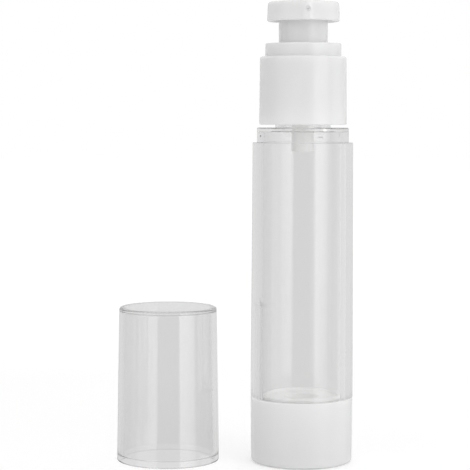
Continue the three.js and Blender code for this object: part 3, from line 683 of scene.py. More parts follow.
# %% [markdown]
# The follower
#
# A spool of soft polyethylene with a wiping lip at each end climbs the bore as lotion is used. It is
# hollow below, and its top is dished with a recess that clears the pump's nose when the bottle is
# empty. Only its upper rim shows, through the foot of the clear wall. A plain disc would do for the
# picture, but the whole spool shows when it has risen.

# %% Follower piston
FOLLOWER_WALL = 1.1
FOLLOWER_WAIST = 0.85   # depth of the groove between the lips
FOLLOWER_LIP = 1.4
FOLLOWER_DISH = 0.7
RECESS_RADIUS = 4.7
RECESS_DEPTH = 7.65

spool = round_box("follower_piston")
waist = spool.radius - FOLLOWER_WAIST
inner = waist - FOLLOWER_WALL
slope = FOLLOWER_LIP + FOLLOWER_WAIST
disc = spool.high - FOLLOWER_DISH
under = disc - FOLLOWER_WALL
follower = turned("follower", filleted([
    (0, under - RECESS_DEPTH), (RECESS_RADIUS + FOLLOWER_WALL, under - RECESS_DEPTH, 0.4),
    (RECESS_RADIUS + 2 * FOLLOWER_WALL, under, 0.4), (inner, under, 0.8),
    (inner, spool.low + slope, 0.4), (spool.radius - FOLLOWER_WALL, spool.low, 0.15),
    (spool.radius, spool.low, 0.2), (spool.radius, spool.low + FOLLOWER_LIP, 0.3),
    (waist, spool.low + slope, 0.4), (waist, spool.high - slope, 0.4),
    (spool.radius, spool.high - FOLLOWER_LIP, 0.3), (spool.radius, spool.high, 0.8),
    (spool.radius - FOLLOWER_WALL, spool.high, 0.25), (inner, disc, 0.3),
    (RECESS_RADIUS + FOLLOWER_WALL, disc, 0.4), (RECESS_RADIUS, disc - RECESS_DEPTH, 0.4),
    (0, disc - RECESS_DEPTH)]))
dress(follower, "follower_piston", soft_pe)

# %% [markdown]
# The collar
#
# What looks like one collar is two mouldings. The outer one is a tapered sleeve, pressed over a
# plain screw closure to hide its ribs. It steps in to a ring, and inside that a tube guides the
# skirt of the pump head. A solid would look the same from outside, but the sleeve is made hollow,
# because the head sinks into it and its underside shows when the bottle is taken apart.

# %% Collar sleeve
SEAT_GAP = 0.2          # between faces that rest on each other
COLLAR_DRAFT = 0.22
RING_STEP = 1.74
RING_HEIGHT = 4.35
RING_WALL = 1.5
COLLAR_ROOF = 1.3
GUIDE_RADIUS = 8.45
GUIDE_WALL = 1.15

collar = round_box("collar_sleeve")
shell = round_box("screw_closure")
sleeve_bore = shell.radius + PRESS_GAP
collar_top = collar.radius - COLLAR_DRAFT
ring = collar_top - RING_STEP
step = collar.high - RING_HEIGHT
guide_low = shell.high + SEAT_GAP
white_collar = turned("white_collar", filleted([
    (sleeve_bore, collar.low, 0.3), (collar.radius, collar.low, 0.35), (collar_top, step, 0.7),
    (ring, step, 0.25), (ring, collar.high, 0.35), (GUIDE_RADIUS, collar.high, 0.4),
    (GUIDE_RADIUS, guide_low, 0.25), (GUIDE_RADIUS + GUIDE_WALL, guide_low, 0.25),
    (GUIDE_RADIUS + GUIDE_WALL, collar.high - COLLAR_ROOF, 0.3),
    (ring - RING_WALL, collar.high - COLLAR_ROOF, 0.3), (ring - RING_WALL, step - COLLAR_ROOF, 0.3),
    (sleeve_bore, step - COLLAR_ROOF, 0.3)]))
dress(white_collar, "collar_sleeve", white_pp)

# %% [markdown]
# The screw closure
#
# A ribbed cap with a hole in its web screws onto the neck and clamps the pump there. Its ribs hold
# the sleeve that is pressed over them. A toothed plan could be extruded, but the ribs would then run
# out at both ends, so the wall is turned and one rib, rounded in plan, is copied round it. The
# thread starts half a lead lower than the neck's, so that the two ridges lie between each other.

# %% Screw closure with ribs and thread
CLOSURE_BORE = 9.88
CLOSURE_RADIUS = 11.08
CLOSURE_WEB = 1.4
WEB_BORE = 7.0
RIB_COUNT = 24
RIB_WIDTH = 1.3
RIB_ROOT = 0.5          # how deep a rib reaches into the wall
RIB_INSETS = (0.2, 0.4)  # of its ends, from the closure's mouth and from its top

closure = turned("closure", filleted([
    (CLOSURE_BORE, shell.low, 0.25), (CLOSURE_RADIUS, shell.low, 0.25),
    (CLOSURE_RADIUS, shell.high, 0.4), (WEB_BORE, shell.high, 0.2),
    (WEB_BORE, shell.high - CLOSURE_WEB, 0.2), (CLOSURE_BORE, shell.high - CLOSURE_WEB, 0.3)]))
reach = shell.radius - CLOSURE_RADIUS + RIB_ROOT
rib_low = shell.low + RIB_INSETS[0]
rib_high = shell.high - RIB_INSETS[1]
rib_plan = filleted([
    (-reach, -RIB_WIDTH / 2), (0, -RIB_WIDTH / 2, 0.35), (0, RIB_WIDTH / 2, 0.35), (-reach, RIB_WIDTH / 2)])
rib = lofted("rib", [
    [Vector((x * share - reach / 2 * (1 - share), y * share, z)) for x, y in rib_plan]
    for share, z in ((0, rib_low), (1, rib_low), (1, rib_high), (0, rib_high))])
ribs = grown("ribs", spaced_round, {"Shape": rib, "Count": RIB_COUNT, "Radius": shell.radius * MM})
thread = grown("closure_thread", screw_thread, {
    "Radius": (CLOSURE_BORE - THREAD_PROUD + THREAD_RIDGE) * MM, "Lead": THREAD_LEAD * MM,
    "Turns": THREAD_TURNS, "Ridge": THREAD_RIDGE * MM, "Foot": (thread_foot - THREAD_LEAD / 2) * MM})
bpy.data.objects.remove(rib)
combine(closure, "UNION", ribs)
combine(closure, "UNION", thread)
dress(closure, "screw_closure", natural_pp)

# %% [markdown]
# The gasket
#
# A foam washer lies on the neck and seals the pump against it. Hidden pieces such as this could stay
# as the CAD model has them, but a close view may look, so each is turned with its fillets too.

# %% Neck gasket
BARREL_RADIUS = 6.6     # of the pump's cylinder in the neck

washer = round_box("neck_gasket")
gasket = turned("gasket", filleted([
    (BARREL_RADIUS + PRESS_GAP, washer.low, 0.1), (washer.radius, washer.low, 0.15),
    (washer.radius, washer.high, 0.15), (BARREL_RADIUS + PRESS_GAP, washer.high, 0.1)]))
dress(gasket, "neck_gasket", foam_pe)

# %% [markdown]
# The pump's cylinder
#
# The cylinder hangs in the neck by its flange, on the gasket. Its nose shows through the clear tube,
# and the rest only when the bottle is taken apart. Inside the nose are the inlet, the seat and the
# cage of the valve ball. They could be cut out one by one, but all lie on the axis, so one outline
# runs up the outside and down the inside. The heights in the nose are added up from its tip.

# %% Pump cylinder
PUMP_BORE = 5.5
CYLINDER_RADIUS = 6.7   # above the flange
FLANGE_THICKNESS = 1.4
NOSE_RADIUS = 3.8
INLET_RADIUS = 1.4
INLET_DEPTH = 5.9       # of the spout below the ball's seat
BALL_SEAT = 1.3         # height of the cone that the ball rests in
POCKET_RADIUS = 2.4
POCKET_DEPTH = 3.0
CAGE_RADIUS = 1.6
CAGE_LIP = 0.8
FLOOR_WALL = 1.0

barrel = round_box("pump_cylinder")
flange_low = washer.high + SEAT_GAP / 2
flange_high = flange_low + FLANGE_THICKNESS
inlet = barrel.low + INLET_DEPTH
pocket_low = inlet + BALL_SEAT
pocket_high = pocket_low + POCKET_DEPTH
chamber = pocket_high + CAGE_LIP
cylinder = turned("cylinder", filleted([
    (INLET_RADIUS, barrel.low, 0.2), (NOSE_RADIUS, barrel.low, 0.3),
    (NOSE_RADIUS, chamber - FLOOR_WALL, 0.2), (BARREL_RADIUS, chamber - FLOOR_WALL, 0.4),
    (BARREL_RADIUS, flange_low, 0.05), (barrel.radius, flange_low, 0.25),
    (barrel.radius, flange_high, 0.25), (CYLINDER_RADIUS, flange_high, 0.1),
    (CYLINDER_RADIUS, barrel.high, 0.25), (PUMP_BORE, barrel.high, 0.2), (PUMP_BORE, chamber, 0.3),
    (CAGE_RADIUS, chamber, 0.15), (CAGE_RADIUS, pocket_high, 0.1), (POCKET_RADIUS, pocket_high, 0.15),
    (POCKET_RADIUS, pocket_low, 0.15), (INLET_RADIUS, inlet, 0.15)]))
dress(cylinder, "pump_cylinder", natural_pp)

# %% [markdown]
# The valve ball
#
# A steel ball in the nose lifts to let lotion in and drops to keep it there. Blender has spheres of
# its own, but turned from a half circle it gets the same fine steps as the seat that it rests in.

# %% Inlet ball
marble = round_box("inlet_ball")
middle = (marble.low + marble.high) / 2
ball = turned("ball", [(0, marble.low)] + [
    (marble.radius * s, middle + marble.radius * c) for s, c in half_round[1:-1]] + [(0, marble.high)])
dress(ball, "inlet_ball", stainless)

# %% [markdown]
# The pump's piston
#
# A soft piston with two lips floats on the hollow stem and wipes the cylinder. Its hub shuts the
# stem's ports at rest and lets go of them when the stem moves on ahead. A plug would fill the same
# space, but the thin lips and the web between hub and skirt are what makes it a seal.

# %% Floating piston
STEM_NECK = 2.5
HUB_RISE = 1.2          # lower end of the hub above the edge of the lower lip
HUB_RADIUS = 3.65
PISTON_LIP = 0.7
PISTON_WEB = 1.0

wiper = round_box("pump_piston")
hub_bore = STEM_NECK + PRESS_GAP
hub_low = wiper.low + HUB_RISE
skirt = wiper.radius - PISTON_LIP
hollow = wiper.radius - PISTON_LIP / 2
web = (hub_low + wiper.high - PISTON_WEB) / 2
piston = turned("piston", filleted([
    (hub_bore, hub_low, 0.15), (HUB_RADIUS, hub_low, 0.2), (HUB_RADIUS, web, 0.2), (skirt, web, 0.2),
    (skirt, wiper.low, 0.15), (wiper.radius, wiper.low, 0.15),
    (wiper.radius, wiper.low + PISTON_LIP, 0.2), (hollow, wiper.low + 2 * PISTON_LIP, 0.3),
    (hollow, wiper.high - 2 * PISTON_LIP, 0.3), (wiper.radius, wiper.high - PISTON_LIP, 0.2),
    (wiper.radius, wiper.high, 0.15), (skirt, wiper.high, 0.15), (skirt, web + PISTON_WEB, 0.2),
    (HUB_RADIUS, web + PISTON_WEB, 0.2), (HUB_RADIUS, wiper.high, 0.2), (hub_bore, wiper.high, 0.15)]))
dress(piston, "pump_piston", soft_pe)

# %% [markdown]
# The stem
#
# The hollow stem carries lotion up to the head. Its foot is a valve head, and just above that one
# hole right across it makes two ports. It could be a plain rod, as it is hidden, but lotion has to
# pass through it. The hole is drilled with a boolean, because it lies across the axis.

# %% Stem with its ports
STEM_RADIUS = 2.9
STEM_BORE = 1.5
VALVE_HEIGHT = 1.6
PORT_RADIUS = 0.65
PORT_REACH = 5.0        # of the drill, each way from the axis
FLOAT_ROOM = 1.2        # stem neck above the piston

rod = round_box("piston_stem")
valve_top = rod.low + VALVE_HEIGHT
neck_top = wiper.high + FLOAT_ROOM
stem = turned("stem", filleted([
    (0, rod.low), (rod.radius, rod.low, 0.25), (rod.radius, valve_top - VALVE_HEIGHT / 2, 0.2),
    (STEM_NECK, valve_top, 0.2), (STEM_NECK, neck_top, 0.15), (STEM_RADIUS, neck_top, 0.15),
    (STEM_RADIUS, rod.high, 0.25), (STEM_BORE, rod.high, 0.2), (STEM_BORE, valve_top, 0.2),
    (0, valve_top)]))
port = turned("port", [
    (0, -PORT_REACH), (PORT_RADIUS, -PORT_REACH), (PORT_RADIUS, PORT_REACH), (0, PORT_REACH)])
port.data.transform(Matrix.Translation((0, 0, (valve_top + 2 * PORT_RADIUS) * MM))
                    @ Matrix.Rotation(math.pi / 2, 4, "X"))
combine(stem, "DIFFERENCE", port)
dress(stem, "piston_stem", natural_pp)

# %% [markdown]
# The guide ring
#
# A flanged ring closes the cylinder round the stem and carries the spring. It could be moulded with
# the cylinder, but then the piston could never be put in, so it is a plug of its own.

# %% Stem guide
STEM_GAP = 0.25         # round the stem in the guide
GUIDE_FLANGE = 1.1

plug = round_box("stem_guide")
seat = plug.high - GUIDE_FLANGE
guide = turned("guide", filleted([
    (STEM_RADIUS + STEM_GAP, plug.low, 0.2), (PUMP_BORE - PRESS_GAP, plug.low, 0.25),
    (PUMP_BORE - PRESS_GAP, seat, 0.05), (plug.radius, seat, 0.2), (plug.radius, plug.high, 0.25),
    (STEM_RADIUS + STEM_GAP, plug.high, 0.25)]))
dress(guide, "stem_guide", natural_pp)

# %% [markdown]
# The return spring
#
# A steel spring stands on the guide and pushes the head up. It runs between the head's stem socket
# and its skirt. A stack of rings would look much like it, but one unbroken wire is what a spring is.

# %% Return spring
SPRING_WIRE = 0.7
SPRING_TURNS = 8.0
SPRING_END_TURNS = 1.0
SPRING_END_PITCH = 1.2
SOCKET_RADIUS = 4.4
SKIRT_BORE = 7.0

coil = round_box("return_spring")
wire_foot = plug.high + SEAT_GAP + SPRING_WIRE / 2
spring = grown("spring", wound_spring, {
    "Coil": (SOCKET_RADIUS + SKIRT_BORE) / 2 * MM, "Wire": SPRING_WIRE / 2 * MM, "Foot": wire_foot * MM,
    "Rise": 2 * ((coil.low + coil.high) / 2 - wire_foot) * MM, "Turns": SPRING_TURNS,
    "End Turns": SPRING_END_TURNS, "End Pitch": SPRING_END_PITCH * MM, "Material": stainless})
dress(spring, "return_spring", stainless)
press = next(joint for joint in frame["joints"] if joint["name"] == "stem_press")
spring_low, spring_high = box_of(spring)
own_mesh(spring)

# %% [markdown]
# Loops of the pump head
#
# From above, the head is a disc whose flanks run straight out to a rounded beak. It could be a disc
# and a beak joined by a boolean, but the flanks are tangent to both, and that leaves no clean seam.
# So the whole plan is one loop: an arc of the disc, a flank, the tip's arc and the other flank.
# Drawn in by an inset, the same loop serves for every level of the wall.

# %% Plan of the head
HEAD_RADIUS = 12.18
BEAK_REACH = 14.2       # from the axis to the tip of the beak
BEAK_RADIUS = 3.6
NOZZLE_TURN = math.radians(4)
DISC_STEPS = 150
FLANK_STEPS = 12
BEAK_STEPS = 24


def arc(middle, radius, start, end, steps):
    """Points on an arc in plan, from one angle to another."""
    angles = [start + (end - start) * k / steps for k in range(steps + 1)]
    return [middle + radius * Vector((math.cos(a), math.sin(a))) for a in angles]


def beak_plan(inset):
    """Plan of the head drawn in by an inset, with the beak towards -Y before it is turned."""
    nose = Vector((0, BEAK_RADIUS - BEAK_REACH))
    lean = math.acos((HEAD_RADIUS - BEAK_RADIUS) / -nose.y)
    ahead = -math.pi / 2
    disc = arc(Vector((0, 0)), HEAD_RADIUS - inset, ahead + lean, ahead + 2 * math.pi - lean, DISC_STEPS)
    tip = arc(nose, BEAK_RADIUS - inset, ahead - lean, ahead + lean, BEAK_STEPS)
    shares = [k / FLANK_STEPS for k in range(1, FLANK_STEPS)]
    left = [disc[-1].lerp(tip[0], share) for share in shares]
    right = [tip[-1].lerp(disc[0], share) for share in shares]
    return [Matrix.Rotation(NOZZLE_TURN, 2) @ point for point in disc + left + tip + right]


spokes = [point.normalized() for point in beak_plan(0)]
print("A loop of the head has", len(spokes), "points")

# %% [markdown]
# Skin of the pump head
#
# The real head is one hollow moulding: a dished top for the finger, a rounded wall, and underneath a
# skirt that slides in the collar and a socket for the stem. Modelled in pieces it would need
# booleans all round, so one skin covers it. Round loops make the dish, beaked loops the wall, and
# round loops go on from there to the skirt, the spring's seat, the socket and the riser.

# %% Head without its channel
HEAD_HEIGHT = 6.45
HEAD_DRAFT = 0.3
HEAD_TOP_EDGE = 0.9
HEAD_LOW_EDGE = 0.6
HEAD_WALL = 1.3
HEAD_ROOF = 1.6
RIM_INSET = 1.9         # from the wall to where beaked loops give way to round ones
DISH_RADIUS = 8.5
DISH_DEPTH = 0.5
DISH_STEPS = 12
SKIRT_RADIUS = 8.18
SKIRT_CLEAR = 0.8       # from the skirt to the first round loop under the roof
SOCKET_RISE = 0.55
SPRING_SEAT_RISE = 1.25
NOZZLE_RISE = 3.55
STOP_GAP = 0.3          # left at the end of a stroke


def at_height(plan, height):
    """A loop of the head: a plan lifted to a height."""
    return [Vector((point.x, point.y, height)) for point in plan]


knob = round_box("actuator")
head_low = knob.high - HEAD_HEIGHT
roof = knob.high - HEAD_ROOF
nozzle = head_low + NOZZLE_RISE
socket_bore = STEM_RADIUS + PRESS_GAP
socket_top = head_low + SOCKET_RISE
socket_low = plug.high + press["range_m"][1] / MM + STOP_GAP
spring_seat = head_low + SPRING_SEAT_RISE
dish = [(DISH_RADIUS * k / DISH_STEPS, knob.high - DISH_DEPTH * (1 - (k / DISH_STEPS) ** 2))
        for k in range(DISH_STEPS + 1)]
rim = filleted([
    (HEAD_RADIUS - RIM_INSET, knob.high), (HEAD_RADIUS - HEAD_DRAFT, knob.high, HEAD_TOP_EDGE),
    (HEAD_RADIUS, head_low, HEAD_LOW_EDGE), (HEAD_RADIUS - HEAD_WALL, head_low, 0.3),
    (HEAD_RADIUS - HEAD_WALL, roof, 0.4), (HEAD_RADIUS - RIM_INSET, roof)])
inside = filleted([
    (SKIRT_RADIUS + SKIRT_CLEAR, roof), (SKIRT_RADIUS, roof, 0.4), (SKIRT_RADIUS, knob.low, 0.3),
    (SKIRT_BORE, knob.low, 0.25), (SKIRT_BORE, spring_seat, 0.3), (SOCKET_RADIUS, spring_seat, 0.3),
    (SOCKET_RADIUS, socket_low, 0.25), (socket_bore, socket_low, 0.25), (socket_bore, socket_top, 0.2),
    (STEM_BORE, socket_top, 0.2), (STEM_BORE, nozzle), (0, nozzle)])
head = lofted("head", [at_height([radius * s for s in spokes], z) for radius, z in dish]
              + [at_height(beak_plan(HEAD_RADIUS - radius), z) for radius, z in rim]
              + [at_height([radius * s for s in spokes], z) for radius, z in inside])
print(f"The head is {HEAD_HEIGHT} mm high, over a skirt {head_low - knob.low:.1f} mm long")

# %% [markdown]
# Channel and orifice
#
# A tube under the roof leads from the riser to the beak, narrows to a fine orifice, and ends in a
# dimple in a small flat face. A dark dot in the material could stand for the orifice, but the
# dimple catches light as only a real one does. So the tube is turned and joined, and then its whole
# bore, orifice, dimple and face are cut by one turned tool that lies along the nozzle.

# %% Channel and orifice of the head
CHANNEL_RADIUS = 1.1
CHANNEL_WALL = 0.8
CHANNEL_SINK = 0.7      # how far its tube runs into the front wall
CHANNEL_BACK = 0.3      # how far it starts behind the stem's axis
CHANNEL_CONE = 0.4      # length in which it narrows to the orifice
ORIFICE_RADIUS = 0.14
ORIFICE_DEPTH = 1.5
FACE_RADIUS = 1.5
FACE_DEPTH = 0.22
FACE_FLARE = 0.2        # by which the cut for the face widens outward
DIMPLE_RADIUS = 0.9
DIMPLE_DEPTH = 0.38

channel_end = BEAK_REACH - ORIFICE_DEPTH
tube_end = channel_end + CHANNEL_SINK
face = BEAK_REACH - FACE_DEPTH
dimple = face - DIMPLE_DEPTH
lie_along = (Matrix.Translation((0, 0, nozzle * MM)) @ Matrix.Rotation(NOZZLE_TURN, 4, "Z")
             @ Matrix.Rotation(math.pi / 2, 4, "X"))
tube = turned("channel_tube", [
    (0, SKIRT_BORE), (CHANNEL_RADIUS + CHANNEL_WALL, SKIRT_BORE),
    (CHANNEL_RADIUS + CHANNEL_WALL, tube_end), (0, tube_end)])
channel = turned("channel", filleted([
    (0, -CHANNEL_BACK), (CHANNEL_RADIUS, -CHANNEL_BACK), (CHANNEL_RADIUS, channel_end - CHANNEL_CONE),
    (ORIFICE_RADIUS, channel_end), (ORIFICE_RADIUS, dimple, 0.08), (DIMPLE_RADIUS, dimple, 0.15),
    (DIMPLE_RADIUS, face, 0.12), (FACE_RADIUS, face, 0.1),
    (FACE_RADIUS + FACE_FLARE, BEAK_REACH + CUT_PAST), (0, BEAK_REACH + CUT_PAST)]))
tube.data.transform(lie_along)
channel.data.transform(lie_along)
combine(head, "UNION", tube)
combine(head, "DIFFERENCE", channel)
dress(head, "actuator", white_pp)

# %% [markdown]
# The clear overcap
#
# The cap stands beside the bottle. Inside its mouth a soft relief leads it over the snap ring, and
# the wall above the relief grips the ring. A cylinder with a Solidify modifier would be near it, but
# a clear crown is drawn by its fillets, inside and out: they turn the light round and make its dark
# outline. So both skins are turned from one outline.

# %% Overcap
CAP_MOUTH_WALL = 1.32
CAP_MOUTH_DEPTH = 2.2
CAP_MOUTH_TAPER = 0.2   # by which the relief draws in up to its end
CAP_LEDGE = 0.45        # from the mouth in to the wall that grips the ring
CAP_DRAFT = 0.88
CAP_WALL = 1.6
CAP_TOP_WALL = 1.2

cap = round_box("overcap")
mouth = cap.radius - CAP_MOUTH_WALL
cap_top = cap.radius - CAP_DRAFT
ceiling = cap.high - CAP_TOP_WALL
overcap = turned("clear_overcap", filleted([
    (0, ceiling), (cap_top - CAP_WALL, ceiling, 0.5),
    (mouth - CAP_LEDGE, CAP_MOUTH_DEPTH + CAP_LEDGE / 2, 0.3),
    (mouth - CAP_MOUTH_TAPER, CAP_MOUTH_DEPTH, 0.3), (mouth, 0, 0.5), (cap.radius, 0, 0.5),
    (cap_top, cap.high, 0.8), (0, cap.high)]), cap.x, cap.y)
dress(overcap, "overcap", clear_san)

# %% [markdown]
# The floor
#
# The photograph's floor is burnt out to plain white. Here it keeps a faint shadow by the feet, so
# that the bottle stands on something. More lamps could burn it out, but they would bleach the
# bottle too. So the floor is pale and plainly lit, and a glow that only the camera sees is added to
# it. The glow is weaker near the set, which keeps the shadow. Rays that clear walls bend or mirror
# don't meet the floor: they see the lower part of the room.

# %% Floor
FLOOR_RADIUS = 4000.0
FLOOR_DROP = 0.05       # below the foot of the bottle
FLOOR_DEPTH = 20.0
GLOW_SPAN = (0.2, 1.2)  # metres from the bottle over which the glow rises
GLOW_LEVELS = (0.28, 0.57)

floor_white, tree = new_material("white_floor")
lit = add(tree, "ShaderNodeBsdfDiffuse", {"Color": linear("#EDEDED")})
away = add(tree, "ShaderNodeVectorMath", {
    0: add(tree, "ShaderNodeTexCoord").outputs["Object"]}, operation="LENGTH")
rising = add(tree, "ShaderNodeMapRange", {
    "Value": away.outputs["Value"], "From Min": GLOW_SPAN[0], "From Max": GLOW_SPAN[1],
    "To Min": GLOW_LEVELS[0], "To Max": GLOW_LEVELS[1]})
path = add(tree, "ShaderNodeLightPath")
seen = add(tree, "ShaderNodeMath", {
    0: rising.outputs[0], 1: path.outputs["Is Camera Ray"]}, operation="MULTIPLY")
glow = add(tree, "ShaderNodeEmission", {"Strength": seen.outputs[0]})
end_material(tree, add(tree, "ShaderNodeAddShader", {0: lit.outputs[0], 1: glow.outputs[0]}))
floor = turned("floor", [
    (0, -FLOOR_DROP), (FLOOR_RADIUS, -FLOOR_DROP), (FLOOR_RADIUS, -FLOOR_DEPTH), (0, -FLOOR_DEPTH)])
floor.data.materials.append(floor_white)
floor.visible_glossy = False
floor.visible_transmission = False
print(f"Floor of {2 * FLOOR_RADIUS * MM:.0f} m across")

# %% [markdown]
# Reflections inside clear walls
#
# A clear tube shows a lamp three times: on its face, on the inside of its walls, and straight
# through. From behind the set, the last is a white block that stands in the tube, so it has to go.
# Hiding a lamp from rays that have passed a wall would take the reflections inside the walls away
# too. So it is hidden from them, and a card in its place glows for them, but only once a ray has
# been mirrored. A lamp can fade towards two of its edges, as a soft box does, and its card with it.

# %% Fades and cards
SIDE_FADE = 0.4         # share of the width after which a lamp fades to its far edge
LOW_FADE = (0.1, 0.4)   # shares of the height between which it fades to its lower edge


def lamp_fade(tree, spot, far, low):
    """The share of a lamp's radiance at a spot on it, given as a vector from 0 to 1 each way."""
    spot = add(tree, "ShaderNodeSeparateXYZ", {0: spot})
    across = add(tree, "ShaderNodeMapRange", {
        "Value": spot.outputs["X"], "From Min": SIDE_FADE, "To Min": 1.0, "To Max": far})
    upward = add(tree, "ShaderNodeMapRange", {
        "Value": spot.outputs["Y"], "From Min": LOW_FADE[0], "From Max": LOW_FADE[1],
        "To Min": low, "To Max": 1.0})
    return add(tree, "ShaderNodeMath", {0: across.outputs[0], 1: upward.outputs[0]}, operation="MULTIPLY")


def reflection_card(name, corners, radiance, far, low):
    """A card at a lamp that shows only where the inside of a clear wall mirrors it."""
    mesh = bpy.data.meshes.new(name)
    mesh.from_pydata(corners, [], [(0, 1, 2, 3)])
    spots = mesh.uv_layers.new(name="spot")
    for loop, spot in zip(spots.data, ((0, 0), (1, 0), (1, 1), (0, 1))):
        loop.uv = spot
    material, tree = new_material(name)
    share = lamp_fade(tree, add(tree, "ShaderNodeUVMap", uv_map="spot").outputs[0], far, low)
    path = add(tree, "ShaderNodeLightPath")
    mirrored = add(tree, "ShaderNodeMath", {0: path.outputs["Glossy Depth"], 1: 1.0}, operation="MINIMUM")
    level = add(tree, "ShaderNodeMath", {0: share.outputs[0], 1: mirrored.outputs[0]}, operation="MULTIPLY")
    strength = add(tree, "ShaderNodeMath", {0: level.outputs[0], 1: radiance}, operation="MULTIPLY")
    glow = add(tree, "ShaderNodeEmission", {"Strength": strength.outputs[0]})
    empty = add(tree, "ShaderNodeBsdfTransparent")
    end_material(tree, add(tree, "ShaderNodeAddShader", {0: glow.outputs[0], 1: empty.outputs[0]}))
    material.cycles.emission_sampling = "NONE"
    mesh.materials.append(material)
    card = bpy.data.objects.new(name, mesh)
    card.visible_camera = False
    card.visible_diffuse = False
    card.visible_glossy = False
    card.visible_shadow = False
    scene.collection.objects.link(card)


print("Cards fade as their lamps do, from", SIDE_FADE, "of the width on")

# %% [markdown]
# The lamps
#
# Clear plastic and glossy plastic are drawn by what they mirror, so the lamps are shaped for their
# reflections. A broad soft box at the right is the main light, and fades outward and downward. A
# weaker one at the left and a weak edge light at the right draw the other stripes on the cylinders.
# Point lamps would give hard dots instead. The photograph has no reflection of a lamp from above,
# so the two lamps above only light the set and are hidden from reflections.

# %% Lamps
AIM = Vector((-0.02, 0, 0.07))        # metres, the middle of the set
HIGH_LAMP = 45          # degrees of elevation from which a lamp only lights
CARD_GAIN = 1.2         # radiance of a card over its lamp's, matched to the photograph


def softbox(name, azimuth, elevation, distance, width, height, radiance, far=1.0, low=1.0):
    """A rectangular lamp aimed at the set, in metres. Azimuth runs from the camera's side to +X.

    Far and low are the shares of its radiance at the edge away from the camera and the lower edge.
    """
    a = math.radians(azimuth)
    e = math.radians(elevation)
    away = Vector((math.sin(a) * math.cos(e), -math.cos(a) * math.cos(e), math.sin(e)))
    lamp = bpy.data.objects.new(name, bpy.data.lights.new(name, "AREA"))
    lamp.data.shape = "RECTANGLE"
    lamp.data.size = width
    lamp.data.size_y = height
    lamp.data.energy = 4 * width * height * radiance
    lamp.data.use_nodes = True
    tree = lamp.data.node_tree
    tree.nodes.clear()
    share = lamp_fade(tree, add(tree, "ShaderNodeNewGeometry").outputs["Parametric"], far, low)
    glow = add(tree, "ShaderNodeEmission", {"Strength": share.outputs[0]})
    add(tree, "ShaderNodeOutputLight", {"Surface": glow.outputs[0]})
    turn = away.to_track_quat("Z", "Y").to_matrix().to_4x4()
    lamp.matrix_world = Matrix.Translation(AIM + away * distance) @ turn
    lamp.visible_camera = False
    lamp.visible_glossy = elevation < HIGH_LAMP
    lamp.visible_transmission = False
    scene.collection.objects.link(lamp)
    if lamp.visible_glossy:
        corners = [lamp.matrix_world @ Vector((x * width / 2, y * height / 2, 0))
                   for x, y in ((-1, -1), (1, -1), (1, 1), (-1, 1))]
        reflection_card(name + "_card", corners, CARD_GAIN * radiance, far, low)
    print(f"{name}: {width:.2f} by {height:.2f} m, {lamp.data.energy:.1f} W")


softbox("key_right", azimuth=48, elevation=8, distance=0.75, width=0.56, height=0.75, radiance=1.3,
        far=0.4, low=0.55)
softbox("fill_left", azimuth=-50, elevation=6, distance=0.75, width=0.7, height=0.9, radiance=0.38)
softbox("above_back", azimuth=180, elevation=55, distance=0.8, width=0.7, height=0.6, radiance=0.8)
softbox("edge_right", azimuth=98, elevation=8, distance=0.8, width=0.45, height=0.8, radiance=0.3)
softbox("above_front", azimuth=10, elevation=72, distance=0.8, width=0.8, height=0.6, radiance=0.45)

# %% [markdown]
# The room
#
# The camera sees a white room. One white all round would make clear plastic vanish, and a picture
# of a studio would bring its own colours, so the room has a level for each kind of ray. Rays bent
# by clear walls meet a pale grey that is a little dimmer low down, overhead and to the left, which
# shades the tube and the overcap. Mirrored rays meet a similar grey, and matt surfaces a mid grey,
# so that white plastic doesn't clip.

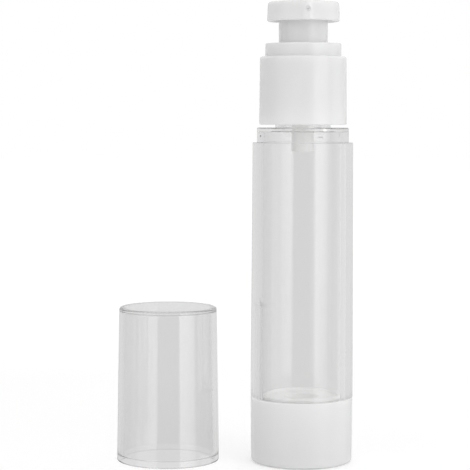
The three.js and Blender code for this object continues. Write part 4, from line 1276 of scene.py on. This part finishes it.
# %% Levels of the room
WHITE = 1.0             # for the camera
AMBIENT = 0.525         # for matt surfaces
LEVELS = {              # axis of a ray's direction, from where to where along it, and the two levels
    "bent": ("Z", -0.2, -0.158, 0.735, 0.787),
    "mirrored": ("Z", -0.03, 0.06, 0.7, 0.8),
    "low down": ("Z", -0.55, -0.22, 0.9, 1.0),
    "overhead": ("Z", 0.2, 0.6, 1.0, 0.8),
    "to the left": ("X", -0.9, -0.1, 0.9, 1.0)}

world = bpy.data.worlds.new("white_room")
scene.world = world
world.use_nodes = True
tree = world.node_tree
tree.nodes.clear()
path = add(tree, "ShaderNodeLightPath")
way = add(tree, "ShaderNodeSeparateXYZ", {0: add(tree, "ShaderNodeTexCoord").outputs["Generated"]})
levels = {}
for name, (axis, start, end, first, last) in LEVELS.items():
    levels[name] = add(tree, "ShaderNodeMapRange", {
        "Value": way.outputs[axis], "From Min": start, "From Max": end, "To Min": first, "To Max": last})
for name, dimmer in (("bent", "overhead"), ("bent", "low down"), ("bent", "to the left"),
                     ("mirrored", "low down")):
    levels[name] = add(tree, "ShaderNodeMath", {
        0: levels[name].outputs[0], 1: levels[dimmer].outputs[0]}, operation="MULTIPLY")
level = levels["mirrored"].outputs[0]
for ray, value in (("Is Diffuse Ray", AMBIENT), ("Is Transmission Ray", levels["bent"].outputs[0]),
                   ("Is Camera Ray", WHITE)):
    level = add(tree, "ShaderNodeMix", {
        "Factor": path.outputs[ray], "A": level, "B": value}, data_type="FLOAT").outputs["Result"]
room = add(tree, "ShaderNodeBackground", {"Color": linear("#FFFFFF"), "Strength": level})
add(tree, "ShaderNodeOutputWorld", {"Surface": room.outputs[0]})
print("Made", world.name, "with levels for rays", list(LEVELS))

# %% [markdown]
# Bounces
#
# Light that crosses the tube or turns round in the cap's crown meets many walls on its way, and a
# path that is cut short comes out black. Fewer bounces would render sooner, but would leave dark
# edges in thick clear walls, so clear paths get plenty. Between matt pieces fewer are enough.

# %% Bounces of light
CLEAR_BOUNCES = 32
MATT_BOUNCES = 12

scene.cycles.max_bounces = CLEAR_BOUNCES
scene.cycles.transparent_max_bounces = CLEAR_BOUNCES
scene.cycles.transmission_bounces = CLEAR_BOUNCES
scene.cycles.glossy_bounces = CLEAR_BOUNCES
scene.cycles.diffuse_bounces = MATT_BOUNCES
print("Bounces:", CLEAR_BOUNCES, "through clear walls and", MATT_BOUNCES, "between matt pieces")
